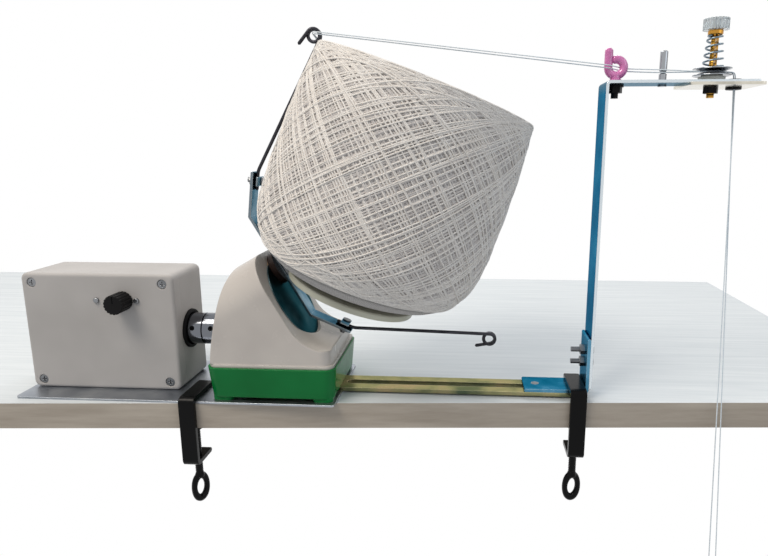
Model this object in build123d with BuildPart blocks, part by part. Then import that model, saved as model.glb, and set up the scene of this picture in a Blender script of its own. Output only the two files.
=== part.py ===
from build123d import *
import math
import os

os.makedirs("parts", exist_ok=True)

# A motor-driven yarn cone winder: millimetres, +X right, +Y away from the viewer, +Z up.
# z = 0 is the table top under the base plate, and (0, 0) is under the flyer hub.

# ---- driving dimensions -------------------------------------------------------------
RUN = 0.05              # radial running clearance between a shaft and its bore
FREE = 0.3              # gap between pieces that move past each other
THREAD_FREE = 0.05      # radial gap at the moving screw threads

TABLE = 20.0            # thickness of the table top that the clamps grip

PLATE_T = 1.5           # base plate
PLATE_X = (-198.0, 48.0)
PLATE_Y = (-45.4, 44.0)
PLATE_CORNER = 3.0

BOX_X = (-197.0, -77.0)  # motor box
BOX_Y = (-25.0, 25.0)
BOX_H = 92.0
BOX_WALL = 3.0
BOX_EDGE = 5.0
LID_DEPTH = 10.0
LID_SCREW_X = 51.5      # lid screws, from the middle of the lid
LID_SCREW_Z = (8.0, BOX_H - 6.0)
LID_BOSS_D = 10.0
LID_SCREW_D = 3.4
LID_HEAD_D = 6.6
LID_HEAD_T = 2.4
LID_RECESS_D = 7.4
LID_RECESS_DEPTH = 3.0
LID_SCREW_REACH = 16.0

DRIVE_Z = 45.0          # height of motor, coupling and drive shaft, all on y = 0
MOTOR_D = 36.0
MOTOR_L = 57.0
GEARBOX_D = 37.0
GEARBOX_L = 22.0
GEARBOX_END = -94.5
NOSE_D = 12.0
NOSE_L = 5.0
MOTOR_SHAFT_D = 6.0
MOTOR_SHAFT_END = -66.0
BRACKET_T = 3.0
GROMMET_OD = 31.0
GROMMET_NECK_D = 28.0
GROMMET_ID = 26.4
GROMMET_T = 2.0
COUPLING_D = 25.0
COUPLING_X = (-79.0, -48.0)
COUPLING_GAP = 1.0
COUPLING_SCREW_D = 4.0
SHAFT_D = 8.0
SHAFT_X = (-63.0, 10.0)

POT_X = -116.5          # speed control on the lid
POT_Z = BOX_H - 19.0
POT_D = 14.0
POT_DEPTH = 10.0
POT_NECK_D = 7.0
POT_NECK_OUT = 4.5
POT_SHAFT_D = 4.0
POT_SHAFT_OUT = 12.0
POT_NUT_AF = 10.0
POT_NUT_T = 2.0
KNOB_D = 15.0
KNOB_H = 14.5
KNOB_GAP = 0.6
PANEL_SCREW_X = (-138.0, -106.3)
PANEL_SCREW_D = 2.5
PANEL_HEAD_D = 4.4
PANEL_HEAD_T = 1.6
STANDOFF_D = 5.0
BOARD_T = 1.6
BOARD_X = (-158.0, -98.0)
BOARD_Z = (BOX_H - 30.0, BOX_H - 6.0)
JACK_X = -184.0
JACK_Z = 26.0
JACK_D = 11.0
JACK_BORE = 5.6
JACK_PIN_D = 2.0

BASE_X = 48.5           # green base of the winder, half sizes
BASE_Y = 44.0
BASE_FOOT = 3.0
BASE_H = 26.0
BASE_WALL = 3.0
BASE_CORNER = 8.0
BASE_DRAFT = 2.0
FOOT_SIZE = 15.0
POST_X = 35.0           # corner posts that the housing screws pass
POST_Y = 33.0
POST_D = 9.0

LIP_T = 2.5             # winder housing
LIP_IN = 1.6            # from the rim of the base
SKIRT_X = 45.0
SKIRT_H = 11.0
HOUSING_WALL = 2.5
HUB_Z = 97.0            # the flyer axis crosses x = 0 at this height
FLYER_TILT = 30.0       # elevation of the flyer axis, towards the guide arm
FACE_S = -6.0           # sloping face of the housing, along the flyer axis
FACE_R = 42.0           # half its width
ARCH_R = 28.0           # corners of its top
FACE_DROP = 26.0        # middle of the face plate, below the flyer axis
FACE_LOW = -110.0       # the face's sides end here, inside the skirt
FACE_PLATE_R = 33.0
FACE_PLATE_T = 1.8
FACE_PLATE_SINK = 1.2

SLEEVE_D = 8.0          # fixed sleeve at the middle of the flyer
SLEEVE_S = (-26.8, 4.1)
BEAM_S = (-26.8, -24.0)
BEAM_HALF = 6.0
FLYER_TUBE_D = 14.0
FLYER_TUBE_END = -22.8
HUB_D = 26.0
HUB_S = (-5.0, -0.2)
FLYER_BUSH_D = 20.0

STRIP_W = 14.0          # flyer arms: steel strip, then steel wire
STRIP_T = 2.0
STRIP_BEND_R = 44.0
WIRE_D = 2.6
LOOP_R = 4.4
CLIP_BOLT_D = 4.0

CONE_TILT = 21.0        # tilt of the yarn package from vertical
CONE_AT = (54.0, 0.0, 75.6)
DISC_R = 50.5
DISC_T = 5.0
TUBE_R = (27.0, 15.0)
TUBE_WALL = 2.0
TUBE_TOP = 169.0
SPINDLE_D = 8.0
SPINDLE_TOP = 60.0
PACK_BOTTOM = 10.0
PACK_TOP = 166.0
PACK_R_TOP = 82.5
PACK_R_MID = 88.6       # the full package, which the flyer's arms must clear
PACK_R_HIGH = PACK_R_MID - 1.0
STRIP_END = (109.2 - PACK_R_MID, PACK_R_MID - 18.1)   # along the flyer axis, away from it
LOOP_AT = (112.0, PACK_R_MID + 41.4)
FEED_D = 4.0            # feed shaft and its rubber cone, which turns the disc
ROLLER_S = (5.0, 8.0)
SPINDLE_ARM_T = 1.7
SPINDLE_ARM_W = 12.0
SPINDLE_ARM_GAP = 1.3   # under the disc

GEAR_GAP = 0.15         # each gear stays this far inside its pitch cone
FLYER_TEETH = (48, 15)
FLYER_MESH = (83.0, 90.0)
FEED_TEETH = (59, 8)
FEED_MESH = (72.0, 76.0)

BAR_W = 26.0            # extension bar and what stands on it
BAR_Y = -4.0
BAR_T = 3.0
BAR_X = (-30.0, 236.0)
SLOT_X = (50.0, 205.0)
SLOT_W = 8.0
ANGLE_T = 2.5
ANGLE_X = (190.0, 237.0)
ANGLE_TOP = 46.0
ARM_T = 2.0
ARM_Y = -4.0
ARM_W = 26.0
ARM_TOP = 232.0
ARM_END = 338.0
ARM_BEND = 2.2
UPRIGHT_FOOT = 9.0
UPRIGHT_BOLT_Z = (26.0, 35.5)
M4 = 4.0
GUIDE_PLATE_X = (291.0, 341.0)
GUIDE_PLATE_W = 38.0
GUIDE_PLATE_T = 2.0
PIGTAIL_X = 246.5
YARN_POST_X = 279.0
TENSION_X = 312.5
EYELET_X = 328.0

CLAMP_W = 12.0          # table clamps
CLAMP_T = 4.0
CLAMP_H = 55.0
CLAMP_TOP_REACH = 33.0
CLAMP_FOOT_REACH = 20.0
CLAMP_SCREW_IN = 10.0
CLAMP_X = (-62.5, 228.0)
CLAMP_EDGE_Y = (-46.0, -25.0)
CLAMP_SCREW_D = 6.0
PAD_D = 11.0
PAD_T = 3.5
EYE_W = 15.0
EYE_H = 25.0
EYE_T = 5.5

YARN_D = 0.8

# ---- places worked out from them ----------------------------------------------------
BOX_Z = (PLATE_T, PLATE_T + BOX_H)
BOX_MID_X = (BOX_X[0] + BOX_X[1]) / 2
LID_BACK = BOX_Y[0] + LID_DEPTH
TUB_FLOOR = PLATE_T + BASE_FOOT
TUB_TOP = PLATE_T + BASE_H
SKIRT_Z = TUB_TOP + LIP_T
BAR_Z = PLATE_T
ANGLE_Z = BAR_Z + BAR_T
CLAMP_TOP_Z = (PLATE_T + CLAMP_T, ANGLE_Z + ANGLE_T + CLAMP_T)
UPRIGHT_X = ANGLE_X[1]
ARM_Z = ARM_TOP - ARM_T

tilt = math.radians(FLYER_TILT)
lean = math.radians(CONE_TILT)
flyer_plane = Plane(
    origin=(0, 0, HUB_Z),
    x_dir=(-math.sin(tilt), 0, math.cos(tilt)),
    z_dir=(math.cos(tilt), 0, math.sin(tilt)),
)
cone_plane = Plane(
    origin=CONE_AT,
    x_dir=(math.cos(lean), 0, -math.sin(lean)),
    z_dir=(math.sin(lean), 0, math.cos(lean)),
)
drive_plane = Plane(origin=(0, 0, DRIVE_Z), x_dir=(0, 0, 1), z_dir=(1, 0, 0))

# The drive shaft and the flyer axis cross here, so both bevel pairs share this apex.
APEX_BACK = (HUB_Z - DRIVE_Z) / math.sin(tilt)
APEX_X = -APEX_BACK * math.cos(tilt)


def flyer_at(s):
    """Plane square to the flyer axis, s in front of the hub."""
    return flyer_plane.offset(s)


def flyer_side(y=0.0):
    """Plane through the flyer axis: its x is along the axis, its y is away from it."""
    origin = flyer_plane.origin + Vector(0, y, 0)
    return Plane(origin=origin, x_dir=flyer_plane.z_dir, z_dir=(0, -1, 0))


def cone_side():
    """Plane through the axis of the package: x is radial, y is along the axis."""
    return Plane(origin=CONE_AT, x_dir=cone_plane.x_dir, z_dir=(0, -1, 0))


def save(part, name):
    part.label = name
    export_step(part, f"parts/{name}.step")


# ---- base plate and motor box -------------------------------------------------------
BOX_FOOT_X = (-109.0, -175.0)
BOX_FOOT_Y = 12.0
FOOT_SCREW_HEAD_D = 7.0
BAR_BOLT_X = 24.0
BAR_BOLT_D = 6.0
BAR_BOLT_HEAD_D = 11.0

foot_screw_spots = [(x, y) for x in BOX_FOOT_X for y in (BOX_FOOT_Y, -BOX_FOOT_Y)]

with BuildPart() as base_plate:
    with BuildSketch(Plane.XY):
        with Locations(((PLATE_X[0] + PLATE_X[1]) / 2, (PLATE_Y[0] + PLATE_Y[1]) / 2)):
            RectangleRounded(PLATE_X[1] - PLATE_X[0], PLATE_Y[1] - PLATE_Y[0], PLATE_CORNER)
        with Locations(*foot_screw_spots):
            Circle(FOOT_SCREW_HEAD_D / 2, mode=Mode.SUBTRACT)
        with Locations((BAR_BOLT_X, BAR_Y)):
            Circle(BAR_BOLT_HEAD_D / 2, mode=Mode.SUBTRACT)
    extrude(amount=PLATE_T)
save(base_plate.part, "base_plate")

box_size = (BOX_X[1] - BOX_X[0], BOX_H)
box_mid_z = (BOX_Z[0] + BOX_Z[1]) / 2
lid_screw_spots = [(x, z) for x in (-LID_SCREW_X, LID_SCREW_X) for z in LID_SCREW_Z]


def box_front(y):
    """Plane facing the viewer, with its middle at the middle of the box in x and z = 0."""
    return Plane(origin=(BOX_MID_X, y, 0), x_dir=(1, 0, 0), z_dir=(0, -1, 0))


with BuildPart() as motor_box_body:
    with BuildSketch(box_front(BOX_Y[1])):
        with Locations((0, box_mid_z)):
            Rectangle(*box_size)
    extrude(amount=BOX_Y[1] - LID_BACK)
    fillet(motor_box_body.edges().filter_by(Axis.Y), BOX_EDGE)
    fillet(motor_box_body.faces().sort_by(Axis.Y)[-1].edges(), BOX_EDGE * 0.6)
    with BuildSketch(box_front(LID_BACK)):
        with Locations((0, box_mid_z)):
            RectangleRounded(
                box_size[0] - 2 * BOX_WALL, box_size[1] - 2 * BOX_WALL, BOX_EDGE - BOX_WALL
            )
    extrude(amount=-(BOX_Y[1] - LID_BACK - BOX_WALL), mode=Mode.SUBTRACT)
    with BuildSketch(box_front(BOX_Y[1] - BOX_WALL)):
        with Locations(*lid_screw_spots):
            Circle(LID_BOSS_D / 2)
    extrude(amount=BOX_Y[1] - BOX_WALL - LID_BACK)
    with BuildSketch(box_front(LID_BACK)):
        with Locations(*lid_screw_spots):
            Circle(LID_SCREW_D / 2)
    extrude(amount=-LID_SCREW_REACH, mode=Mode.SUBTRACT)
    with BuildSketch(drive_plane.offset(BOX_X[1])):
        Circle(GROMMET_NECK_D / 2)
    extrude(amount=-BOX_WALL, mode=Mode.SUBTRACT)
    with BuildSketch(Plane.XY.offset(BOX_Z[0])):
        with Locations(*foot_screw_spots):
            Circle(M4 / 2)
    extrude(amount=BOX_WALL, mode=Mode.SUBTRACT)
    with BuildSketch(Plane(origin=(JACK_X, BOX_Y[1], JACK_Z), z_dir=(0, 1, 0))):
        Circle(JACK_D / 2)
    extrude(amount=-BOX_WALL, mode=Mode.SUBTRACT)
save(motor_box_body.part, "motor_box_body")

with BuildPart() as motor_box_lid:
    with BuildSketch(box_front(LID_BACK)):
        with Locations((0, box_mid_z)):
            Rectangle(*box_size)
    extrude(amount=LID_DEPTH)
    fillet(motor_box_lid.edges().filter_by(Axis.Y), BOX_EDGE)
    fillet(motor_box_lid.faces().sort_by(Axis.Y)[0].edges(), BOX_EDGE * 0.5)
    with BuildSketch(box_front(LID_BACK)):
        with Locations((0, box_mid_z)):
            RectangleRounded(
                box_size[0] - 2 * BOX_WALL, box_size[1] - 2 * BOX_WALL, BOX_EDGE - BOX_WALL
            )
    extrude(amount=LID_DEPTH - BOX_WALL, mode=Mode.SUBTRACT)
    with BuildSketch(box_front(LID_BACK)):
        with Locations(*lid_screw_spots):
            Circle(LID_BOSS_D / 2)
    extrude(amount=LID_DEPTH - BOX_WALL)
    with BuildSketch(box_front(BOX_Y[0])):
        with Locations(*lid_screw_spots):
            Circle(LID_RECESS_D / 2)
    extrude(amount=-LID_RECESS_DEPTH, mode=Mode.SUBTRACT)
    with BuildSketch(box_front(BOX_Y[0])):
        with Locations(*lid_screw_spots):
            Circle(LID_SCREW_D / 2)
        with Locations((POT_X - BOX_MID_X, POT_Z)):
            Circle(POT_NECK_D / 2)
        with Locations(*[(x - BOX_MID_X, POT_Z) for x in PANEL_SCREW_X]):
            Circle(PANEL_SCREW_D / 2)
    extrude(amount=-LID_DEPTH, mode=Mode.SUBTRACT)
save(motor_box_lid.part, "motor_box_lid")

with BuildPart() as lid_screws:
    with BuildSketch(box_front(BOX_Y[0] + LID_RECESS_DEPTH)):
        with Locations(*lid_screw_spots):
            Circle(LID_HEAD_D / 2)
            Rectangle(LID_HEAD_D * 0.6, 0.9, mode=Mode.SUBTRACT)
            Rectangle(0.9, LID_HEAD_D * 0.6, mode=Mode.SUBTRACT)
    extrude(amount=LID_HEAD_T)
    with BuildSketch(box_front(BOX_Y[0] + LID_RECESS_DEPTH)):
        with Locations(*lid_screw_spots):
            Circle(LID_HEAD_D / 2)
    extrude(amount=LID_HEAD_T - 1.2)
    with BuildSketch(box_front(BOX_Y[0] + LID_RECESS_DEPTH)):
        with Locations(*lid_screw_spots):
            Circle(LID_SCREW_D / 2)
    extrude(amount=-(LID_DEPTH - LID_RECESS_DEPTH + LID_SCREW_REACH))
save(lid_screws.part, "lid_screws")

with BuildPart() as box_grommet:
    with BuildSketch(drive_plane.offset(BOX_X[1])):
        Circle(GROMMET_OD / 2)
    extrude(amount=GROMMET_T)
    fillet(box_grommet.faces().sort_by(Axis.X)[-1].edges(), GROMMET_T * 0.4)
    with BuildSketch(drive_plane.offset(BOX_X[1])):
        Circle(GROMMET_NECK_D / 2)
    extrude(amount=-BOX_WALL)
    with BuildSketch(drive_plane.offset(BOX_X[1] - BOX_WALL)):
        Circle(GROMMET_ID / 2)
    extrude(amount=BOX_WALL + GROMMET_T, mode=Mode.SUBTRACT)
save(box_grommet.part, "box_grommet")

with BuildPart() as gear_motor:
    with BuildSketch(drive_plane.offset(GEARBOX_END)):
        Circle(GEARBOX_D / 2)
    extrude(amount=-GEARBOX_L)
    with BuildSketch(drive_plane.offset(GEARBOX_END - GEARBOX_L)):
        Circle(MOTOR_D / 2)
    extrude(amount=-MOTOR_L)
    fillet(gear_motor.faces().sort_by(Axis.X)[0].edges(), 3)
    with BuildSketch(drive_plane.offset(GEARBOX_END)):
        Circle(NOSE_D / 2)
    extrude(amount=NOSE_L)
    with BuildSketch(drive_plane.offset(GEARBOX_END + NOSE_L)):
        Circle(MOTOR_SHAFT_D / 2 + RUN)
    extrude(amount=-(NOSE_L + GEARBOX_L / 2), mode=Mode.SUBTRACT)
save(gear_motor.part, "gear_motor")

BRACKET_W = 38.0
BRACKET_FOOT = 24.0
with BuildPart() as motor_bracket:
    with BuildSketch(drive_plane.offset(GEARBOX_END)):
        with Locations((-(DRIVE_Z - BOX_Z[0] - BOX_WALL) / 2 + 11, 0)):
            Rectangle(DRIVE_Z - BOX_Z[0] - BOX_WALL + 22, BRACKET_W)
        Circle(NOSE_D / 2, mode=Mode.SUBTRACT)
    extrude(amount=BRACKET_T)
    with BuildSketch(Plane.XY.offset(BOX_Z[0] + BOX_WALL)):
        with Locations((GEARBOX_END - BRACKET_FOOT / 2, 0)):
            Rectangle(BRACKET_FOOT, BRACKET_W)
        with Locations(*foot_screw_spots[:2]):
            Circle(M4 / 2, mode=Mode.SUBTRACT)
    extrude(amount=BRACKET_T)
save(motor_bracket.part, "motor_bracket")

with BuildPart() as box_mount_screws:
    with BuildSketch(Plane.XY):
        with Locations(*foot_screw_spots):
            Circle(FOOT_SCREW_HEAD_D / 2)
    extrude(amount=PLATE_T)
    with BuildSketch(Plane.XY.offset(PLATE_T)):
        with Locations(*foot_screw_spots):
            Circle(M4 / 2)
    extrude(amount=BOX_WALL + BRACKET_T)
    with BuildSketch(Plane.XY.offset(BOX_Z[0] + BOX_WALL + BRACKET_T)):
        with Locations(*foot_screw_spots[:2]):
            RegularPolygon(4, 6)
    extrude(amount=3)
    with BuildSketch(Plane.XY.offset(BOX_Z[0] + BOX_WALL)):
        with Locations(*foot_screw_spots[2:]):
            RegularPolygon(4, 6)
    extrude(amount=BRACKET_T)

# ---- speed control ------------------------------------------------------------------
LID_INSIDE = BOX_Y[0] + BOX_WALL
BOARD_Y = LID_INSIDE + POT_DEPTH


def pot_front(y):
    return Plane(origin=(POT_X, y, POT_Z), x_dir=(1, 0, 0), z_dir=(0, -1, 0))


with BuildPart() as potentiometer:
    with BuildSketch(pot_front(BOARD_Y)):
        Circle(POT_D / 2)
    extrude(amount=POT_DEPTH)
    with BuildSketch(pot_front(LID_INSIDE)):
        Circle(POT_NECK_D / 2)
    extrude(amount=BOX_WALL + POT_NECK_OUT)
    with BuildSketch(pot_front(BOX_Y[0])):
        RegularPolygon(POT_NUT_AF / 2, 6, major_radius=False)
        Circle(POT_NECK_D / 2, mode=Mode.SUBTRACT)
    extrude(amount=POT_NUT_T)
    with BuildSketch(pot_front(BOX_Y[0] - POT_NECK_OUT)):
        Circle(POT_SHAFT_D / 2 + RUN)
    extrude(amount=-(POT_NECK_OUT + BOX_WALL + POT_DEPTH / 2), mode=Mode.SUBTRACT)

with BuildPart() as speed_knob:
    with BuildSketch(pot_front(BOX_Y[0] - KNOB_GAP)):
        Circle(KNOB_D / 2)
        with PolarLocations(KNOB_D / 2 + 0.25, 18):
            Circle(0.7, mode=Mode.SUBTRACT)
    extrude(amount=KNOB_H)
    chamfer(speed_knob.faces().sort_by(Axis.Y)[0].edges(), 0.5)
    with BuildSketch(pot_front(BOX_Y[0] - KNOB_GAP)):
        Circle(KNOB_D / 2 - 1.5)
    extrude(amount=POT_NECK_OUT + FREE - KNOB_GAP, mode=Mode.SUBTRACT)
    with BuildSketch(pot_front(BOX_Y[0] - KNOB_GAP - KNOB_H)):
        with Locations((0, KNOB_D / 4)):
            Rectangle(0.9, KNOB_D / 2.6)
    extrude(amount=-0.6, mode=Mode.SUBTRACT)
    with BuildSketch(pot_front(BOX_Y[0] - POT_SHAFT_OUT)):
        Circle(POT_SHAFT_D / 2)
    extrude(amount=-(POT_SHAFT_OUT + BOX_WALL + POT_DEPTH / 2 - FREE))
save(speed_knob.part, "speed_knob")

panel_spots = [(x - BOX_MID_X, POT_Z) for x in PANEL_SCREW_X]
with BuildPart() as panel_screws:
    with BuildSketch(box_front(BOX_Y[0])):
        with Locations(*panel_spots):
            Circle(PANEL_HEAD_D / 2)
    extrude(amount=PANEL_HEAD_T)
    fillet(panel_screws.edges().group_by(Axis.Y)[0], PANEL_HEAD_T * 0.6)
    with BuildSketch(box_front(BOX_Y[0])):
        with Locations(*panel_spots):
            Circle(PANEL_SCREW_D / 2)
    extrude(amount=-BOX_WALL)
    with BuildSketch(box_front(BOARD_Y)):
        with Locations(*panel_spots):
            Circle(STANDOFF_D / 2)
    extrude(amount=POT_DEPTH)
save(panel_screws.part, "panel_screws")

BOARD_MID = ((BOARD_X[0] + BOARD_X[1]) / 2 - BOX_MID_X, (BOARD_Z[0] + BOARD_Z[1]) / 2)
with BuildPart() as control_board:
    with BuildSketch(box_front(BOARD_Y)):
        with Locations(BOARD_MID):
            Rectangle(BOARD_X[1] - BOARD_X[0], BOARD_Z[1] - BOARD_Z[0])
    extrude(amount=-BOARD_T)
    with BuildSketch(box_front(BOARD_Y + BOARD_T)):
        with Locations((BOARD_MID[0] - 18, BOARD_MID[1])):
            Circle(5)
        with Locations((BOARD_MID[0], BOARD_MID[1] + 3)):
            Rectangle(12, 10)
        with Locations((BOARD_MID[0] + 18, BOARD_MID[1])):
            Rectangle(8, 16)
    extrude(amount=-9)
save(Compound(children=[control_board.part, potentiometer.part]), "speed_control")

with BuildPart() as power_jack:
    with BuildSketch(Plane(origin=(JACK_X, BOX_Y[1] - BOX_WALL, JACK_Z), z_dir=(0, 1, 0))):
        Circle(JACK_D / 2)
    extrude(amount=BOX_WALL)
    with BuildSketch(Plane(origin=(JACK_X, BOX_Y[1], JACK_Z), z_dir=(0, 1, 0))):
        Circle(JACK_D / 2 + 1.5)
    extrude(amount=1.5)
    with BuildSketch(Plane(origin=(JACK_X, BOX_Y[1] - BOX_WALL, JACK_Z), z_dir=(0, 1, 0))):
        Circle(JACK_D / 2 + 1.2)
    extrude(amount=-12)
    with BuildSketch(Plane(origin=(JACK_X, BOX_Y[1] + 1.5, JACK_Z), z_dir=(0, 1, 0))):
        Circle(JACK_BORE / 2)
        Circle(JACK_PIN_D / 2, mode=Mode.SUBTRACT)
    extrude(amount=-11, mode=Mode.SUBTRACT)
save(power_jack.part, "power_jack")

# ---- winder base and housing --------------------------------------------------------
posts = [(x, y) for x in (-POST_X, POST_X) for y in (-POST_Y, POST_Y)]
HOUSING_SCREW_D = 3.4
HOUSING_HEAD_D = 6.4
HOUSING_HEAD_T = 2.4
WEB_L = SKIRT_X - HOUSING_WALL / 2 - POST_X   # web from each post to the housing's wall

with BuildPart() as winder_base:
    with BuildSketch(Plane.XY.offset(TUB_FLOOR)):
        RectangleRounded(2 * (BASE_X - BASE_DRAFT), 2 * (BASE_Y - BASE_DRAFT), BASE_CORNER)
    with BuildSketch(Plane.XY.offset(TUB_TOP)):
        RectangleRounded(2 * BASE_X, 2 * BASE_Y, BASE_CORNER)
    loft()
    with BuildSketch(Plane.XY.offset(TUB_FLOOR + BASE_WALL)):
        RectangleRounded(
            2 * (BASE_X - BASE_DRAFT - BASE_WALL),
            2 * (BASE_Y - BASE_DRAFT - BASE_WALL),
            BASE_CORNER - BASE_WALL,
        )
    extrude(amount=BASE_H - BASE_FOOT - BASE_WALL, mode=Mode.SUBTRACT)
    with BuildSketch(Plane.XY.offset(TUB_FLOOR + BASE_WALL)):
        with Locations(*posts):
            Circle(POST_D / 2)
    extrude(amount=BASE_H - BASE_FOOT - BASE_WALL)
    with BuildSketch(Plane.XY.offset(PLATE_T)):
        with GridLocations(
            2 * (BASE_X - BASE_DRAFT - FOOT_SIZE / 2 - 1),
            2 * (BASE_Y - BASE_DRAFT - FOOT_SIZE / 2 - 1),
            2,
            2,
        ):
            RectangleRounded(FOOT_SIZE, FOOT_SIZE, 4)
    extrude(amount=BASE_FOOT)
    with BuildSketch(Plane.XY.offset(PLATE_T)):
        with Locations(*posts):
            Circle(HOUSING_SCREW_D / 2)
        with Locations((BAR_BOLT_X, BAR_Y)):
            Circle(BAR_BOLT_D / 2)
    extrude(amount=BASE_H, mode=Mode.SUBTRACT)
    with BuildSketch(Plane.XY.offset(PLATE_T)):
        with Locations(*posts):
            Circle(HOUSING_HEAD_D / 2)
    extrude(amount=HOUSING_HEAD_T, mode=Mode.SUBTRACT)
save(winder_base.part, "winder_base")


def arch(inset, mode=Mode.ADD):
    """The housing's section square to the flyer axis, or its inside when inset is the wall."""
    top = FACE_R - FACE_DROP - inset
    with Locations(((top + FACE_LOW) / 2, 0)):
        RectangleRounded(top - FACE_LOW, 2 * (FACE_R - inset), ARCH_R - inset, mode=mode)


def housing_form(inset, floor):
    """The housing's outer shape, or its inside when inset is the wall."""
    left = [(-SKIRT_X, floor), (-43.6, 43.0), (-38.0, 71.0), (-32.5, 93.0), (-27.5, 102.0), (-12.0, 112.0)]
    with BuildPart() as form:
        with BuildSketch(flyer_at(FACE_S - inset)):
            arch(inset)
        extrude(amount=-110)
        with BuildSketch(Plane.XZ.offset(-(FACE_R + 5))):
            with BuildLine():
                wall = Spline([(x + inset, z) for x, z in left])
                Polyline(wall @ 1, (70, left[-1][1]), (70, floor), wall @ 0)
            make_face()
        extrude(amount=2 * (FACE_R + 5), mode=Mode.INTERSECT)
        with BuildSketch(Plane.XY.offset(floor)):
            RectangleRounded(2 * (SKIRT_X - inset), 2 * (FACE_R - inset), BASE_CORNER - inset)
        extrude(amount=SKIRT_Z + SKIRT_H - inset - floor)
    return form.part


housing_outside = housing_form(0, SKIRT_Z)
housing_inside = housing_form(HOUSING_WALL, TUB_TOP)

# The sloping face sweeps forward into the top of the skirt.
SKIRT_TOP = SKIRT_Z + SKIRT_H
toe_corner = Vector((FACE_S + (HUB_Z - SKIRT_TOP) * math.sin(tilt)) / math.cos(tilt), SKIRT_TOP)
toe_run = SKIRT_X - FREE - toe_corner.X
toe_high = toe_corner + Vector(-math.sin(tilt), math.cos(tilt)) * toe_run
toe_low = toe_corner + Vector(toe_run, 0)
with BuildPart() as toe:
    with BuildSketch(Plane.XZ.offset(-FACE_R)):
        with BuildLine():
            Polyline(toe_high, toe_corner, toe_low)
            TangentArc(toe_low, toe_high, tangent=(-1, 0))
        make_face()
    extrude(amount=2 * FACE_R)
    with BuildSketch(Plane.XY.offset(SKIRT_Z)):
        RectangleRounded(2 * SKIRT_X, 2 * FACE_R, BASE_CORNER)
    extrude(amount=HUB_Z, mode=Mode.INTERSECT)

with BuildPart() as winder_housing:
    add(housing_outside)
    add(toe.part)
    with BuildSketch(Plane.XY.offset(TUB_TOP)):
        RectangleRounded(2 * (BASE_X - LIP_IN), 2 * (BASE_Y - LIP_IN), BASE_CORNER - LIP_IN)
    extrude(amount=LIP_T)
    add(housing_inside, mode=Mode.SUBTRACT)
    with BuildSketch(Plane.XY.offset(TUB_TOP)):
        with Locations(*posts):
            Circle(POST_D / 2)
        with Locations(*[(math.copysign(POST_X + WEB_L / 2, x), y) for x, y in posts]):
            Rectangle(WEB_L, HOUSING_WALL)
    extrude(amount=LIP_T + SKIRT_H - HOUSING_WALL)
    with BuildSketch(Plane.XY.offset(TUB_TOP)):
        with Locations(*posts):
            Circle(HOUSING_SCREW_D / 2)
    extrude(amount=LIP_T + SKIRT_H - HOUSING_WALL, mode=Mode.SUBTRACT)
    with BuildSketch(flyer_at(FACE_S - FACE_PLATE_SINK)):
        with Locations((-FACE_DROP, 0)):
            Circle(FACE_PLATE_R)
    extrude(amount=60, mode=Mode.SUBTRACT)
    with BuildSketch(flyer_at(FACE_S - 2 * HOUSING_WALL)):
        Circle(FLYER_BUSH_D / 2)
    extrude(amount=4 * HOUSING_WALL, mode=Mode.SUBTRACT)
    with BuildSketch(drive_plane.offset(-60)):
        Circle(SHAFT_D / 2 + 2)
    extrude(amount=30, mode=Mode.SUBTRACT)
save(winder_housing.part, "winder_housing")

with BuildPart() as face_plate:
    with BuildSketch(flyer_at(FACE_S - FACE_PLATE_SINK)):
        with Locations((-FACE_DROP, 0)):
            Circle(FACE_PLATE_R)
        Circle(FLYER_BUSH_D / 2, mode=Mode.SUBTRACT)
    extrude(amount=FACE_PLATE_T)
save(face_plate.part, "face_plate")

with BuildPart() as flyer_bush:
    with BuildSketch(flyer_at(FACE_S - 6)):
        Circle(FLYER_BUSH_D / 2)
        Circle(FLYER_TUBE_D / 2 + RUN, mode=Mode.SUBTRACT)
    extrude(amount=6 - FACE_PLATE_SINK + FACE_PLATE_T)

with BuildPart() as housing_screws:
    with BuildSketch(Plane.XY.offset(PLATE_T)):
        with Locations(*posts):
            Circle(HOUSING_HEAD_D / 2)
    extrude(amount=HOUSING_HEAD_T)
    with BuildSketch(Plane.XY.offset(PLATE_T + HOUSING_HEAD_T)):
        with Locations(*posts):
            Circle(HOUSING_SCREW_D / 2)
    extrude(amount=BASE_H - HOUSING_HEAD_T + LIP_T + SKIRT_H - HOUSING_WALL)
save(Compound(children=[box_mount_screws.part, housing_screws.part]), "mount_screws")

# ---- drive shaft, its supports and the coupling ------------------------------------
PEDESTAL_X = (-34.0, 5.5)
PEDESTAL_T = 7.0
PEDESTAL_W = 32.0
BEARING_D = 22.0
PEDESTAL_TOP = DRIVE_Z + 14.0
PEDESTAL_FOOT = TUB_FLOOR + BASE_WALL

with BuildPart() as bearing_pedestals:
    for x in PEDESTAL_X:
        with BuildSketch(Plane.YZ.offset(x - PEDESTAL_T / 2)):
            with Locations((0, (PEDESTAL_FOOT + PEDESTAL_TOP) / 2)):
                Rectangle(PEDESTAL_W, PEDESTAL_TOP - PEDESTAL_FOOT)
            with Locations((0, DRIVE_Z)):
                Circle(BEARING_D / 2, mode=Mode.SUBTRACT)
        extrude(amount=PEDESTAL_T)
    chamfer(bearing_pedestals.edges().filter_by(Axis.X).group_by(Axis.Z)[-1], 6)
save(bearing_pedestals.part, "bearing_pedestals")

with BuildPart() as shaft_bearings:
    for x in PEDESTAL_X:
        with BuildSketch(drive_plane.offset(x - PEDESTAL_T / 2)):
            Circle(BEARING_D / 2)
            Circle(SHAFT_D / 2 + RUN, mode=Mode.SUBTRACT)
        extrude(amount=PEDESTAL_T)
save(Compound(children=[shaft_bearings.part, flyer_bush.part]), "bearings")

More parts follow.
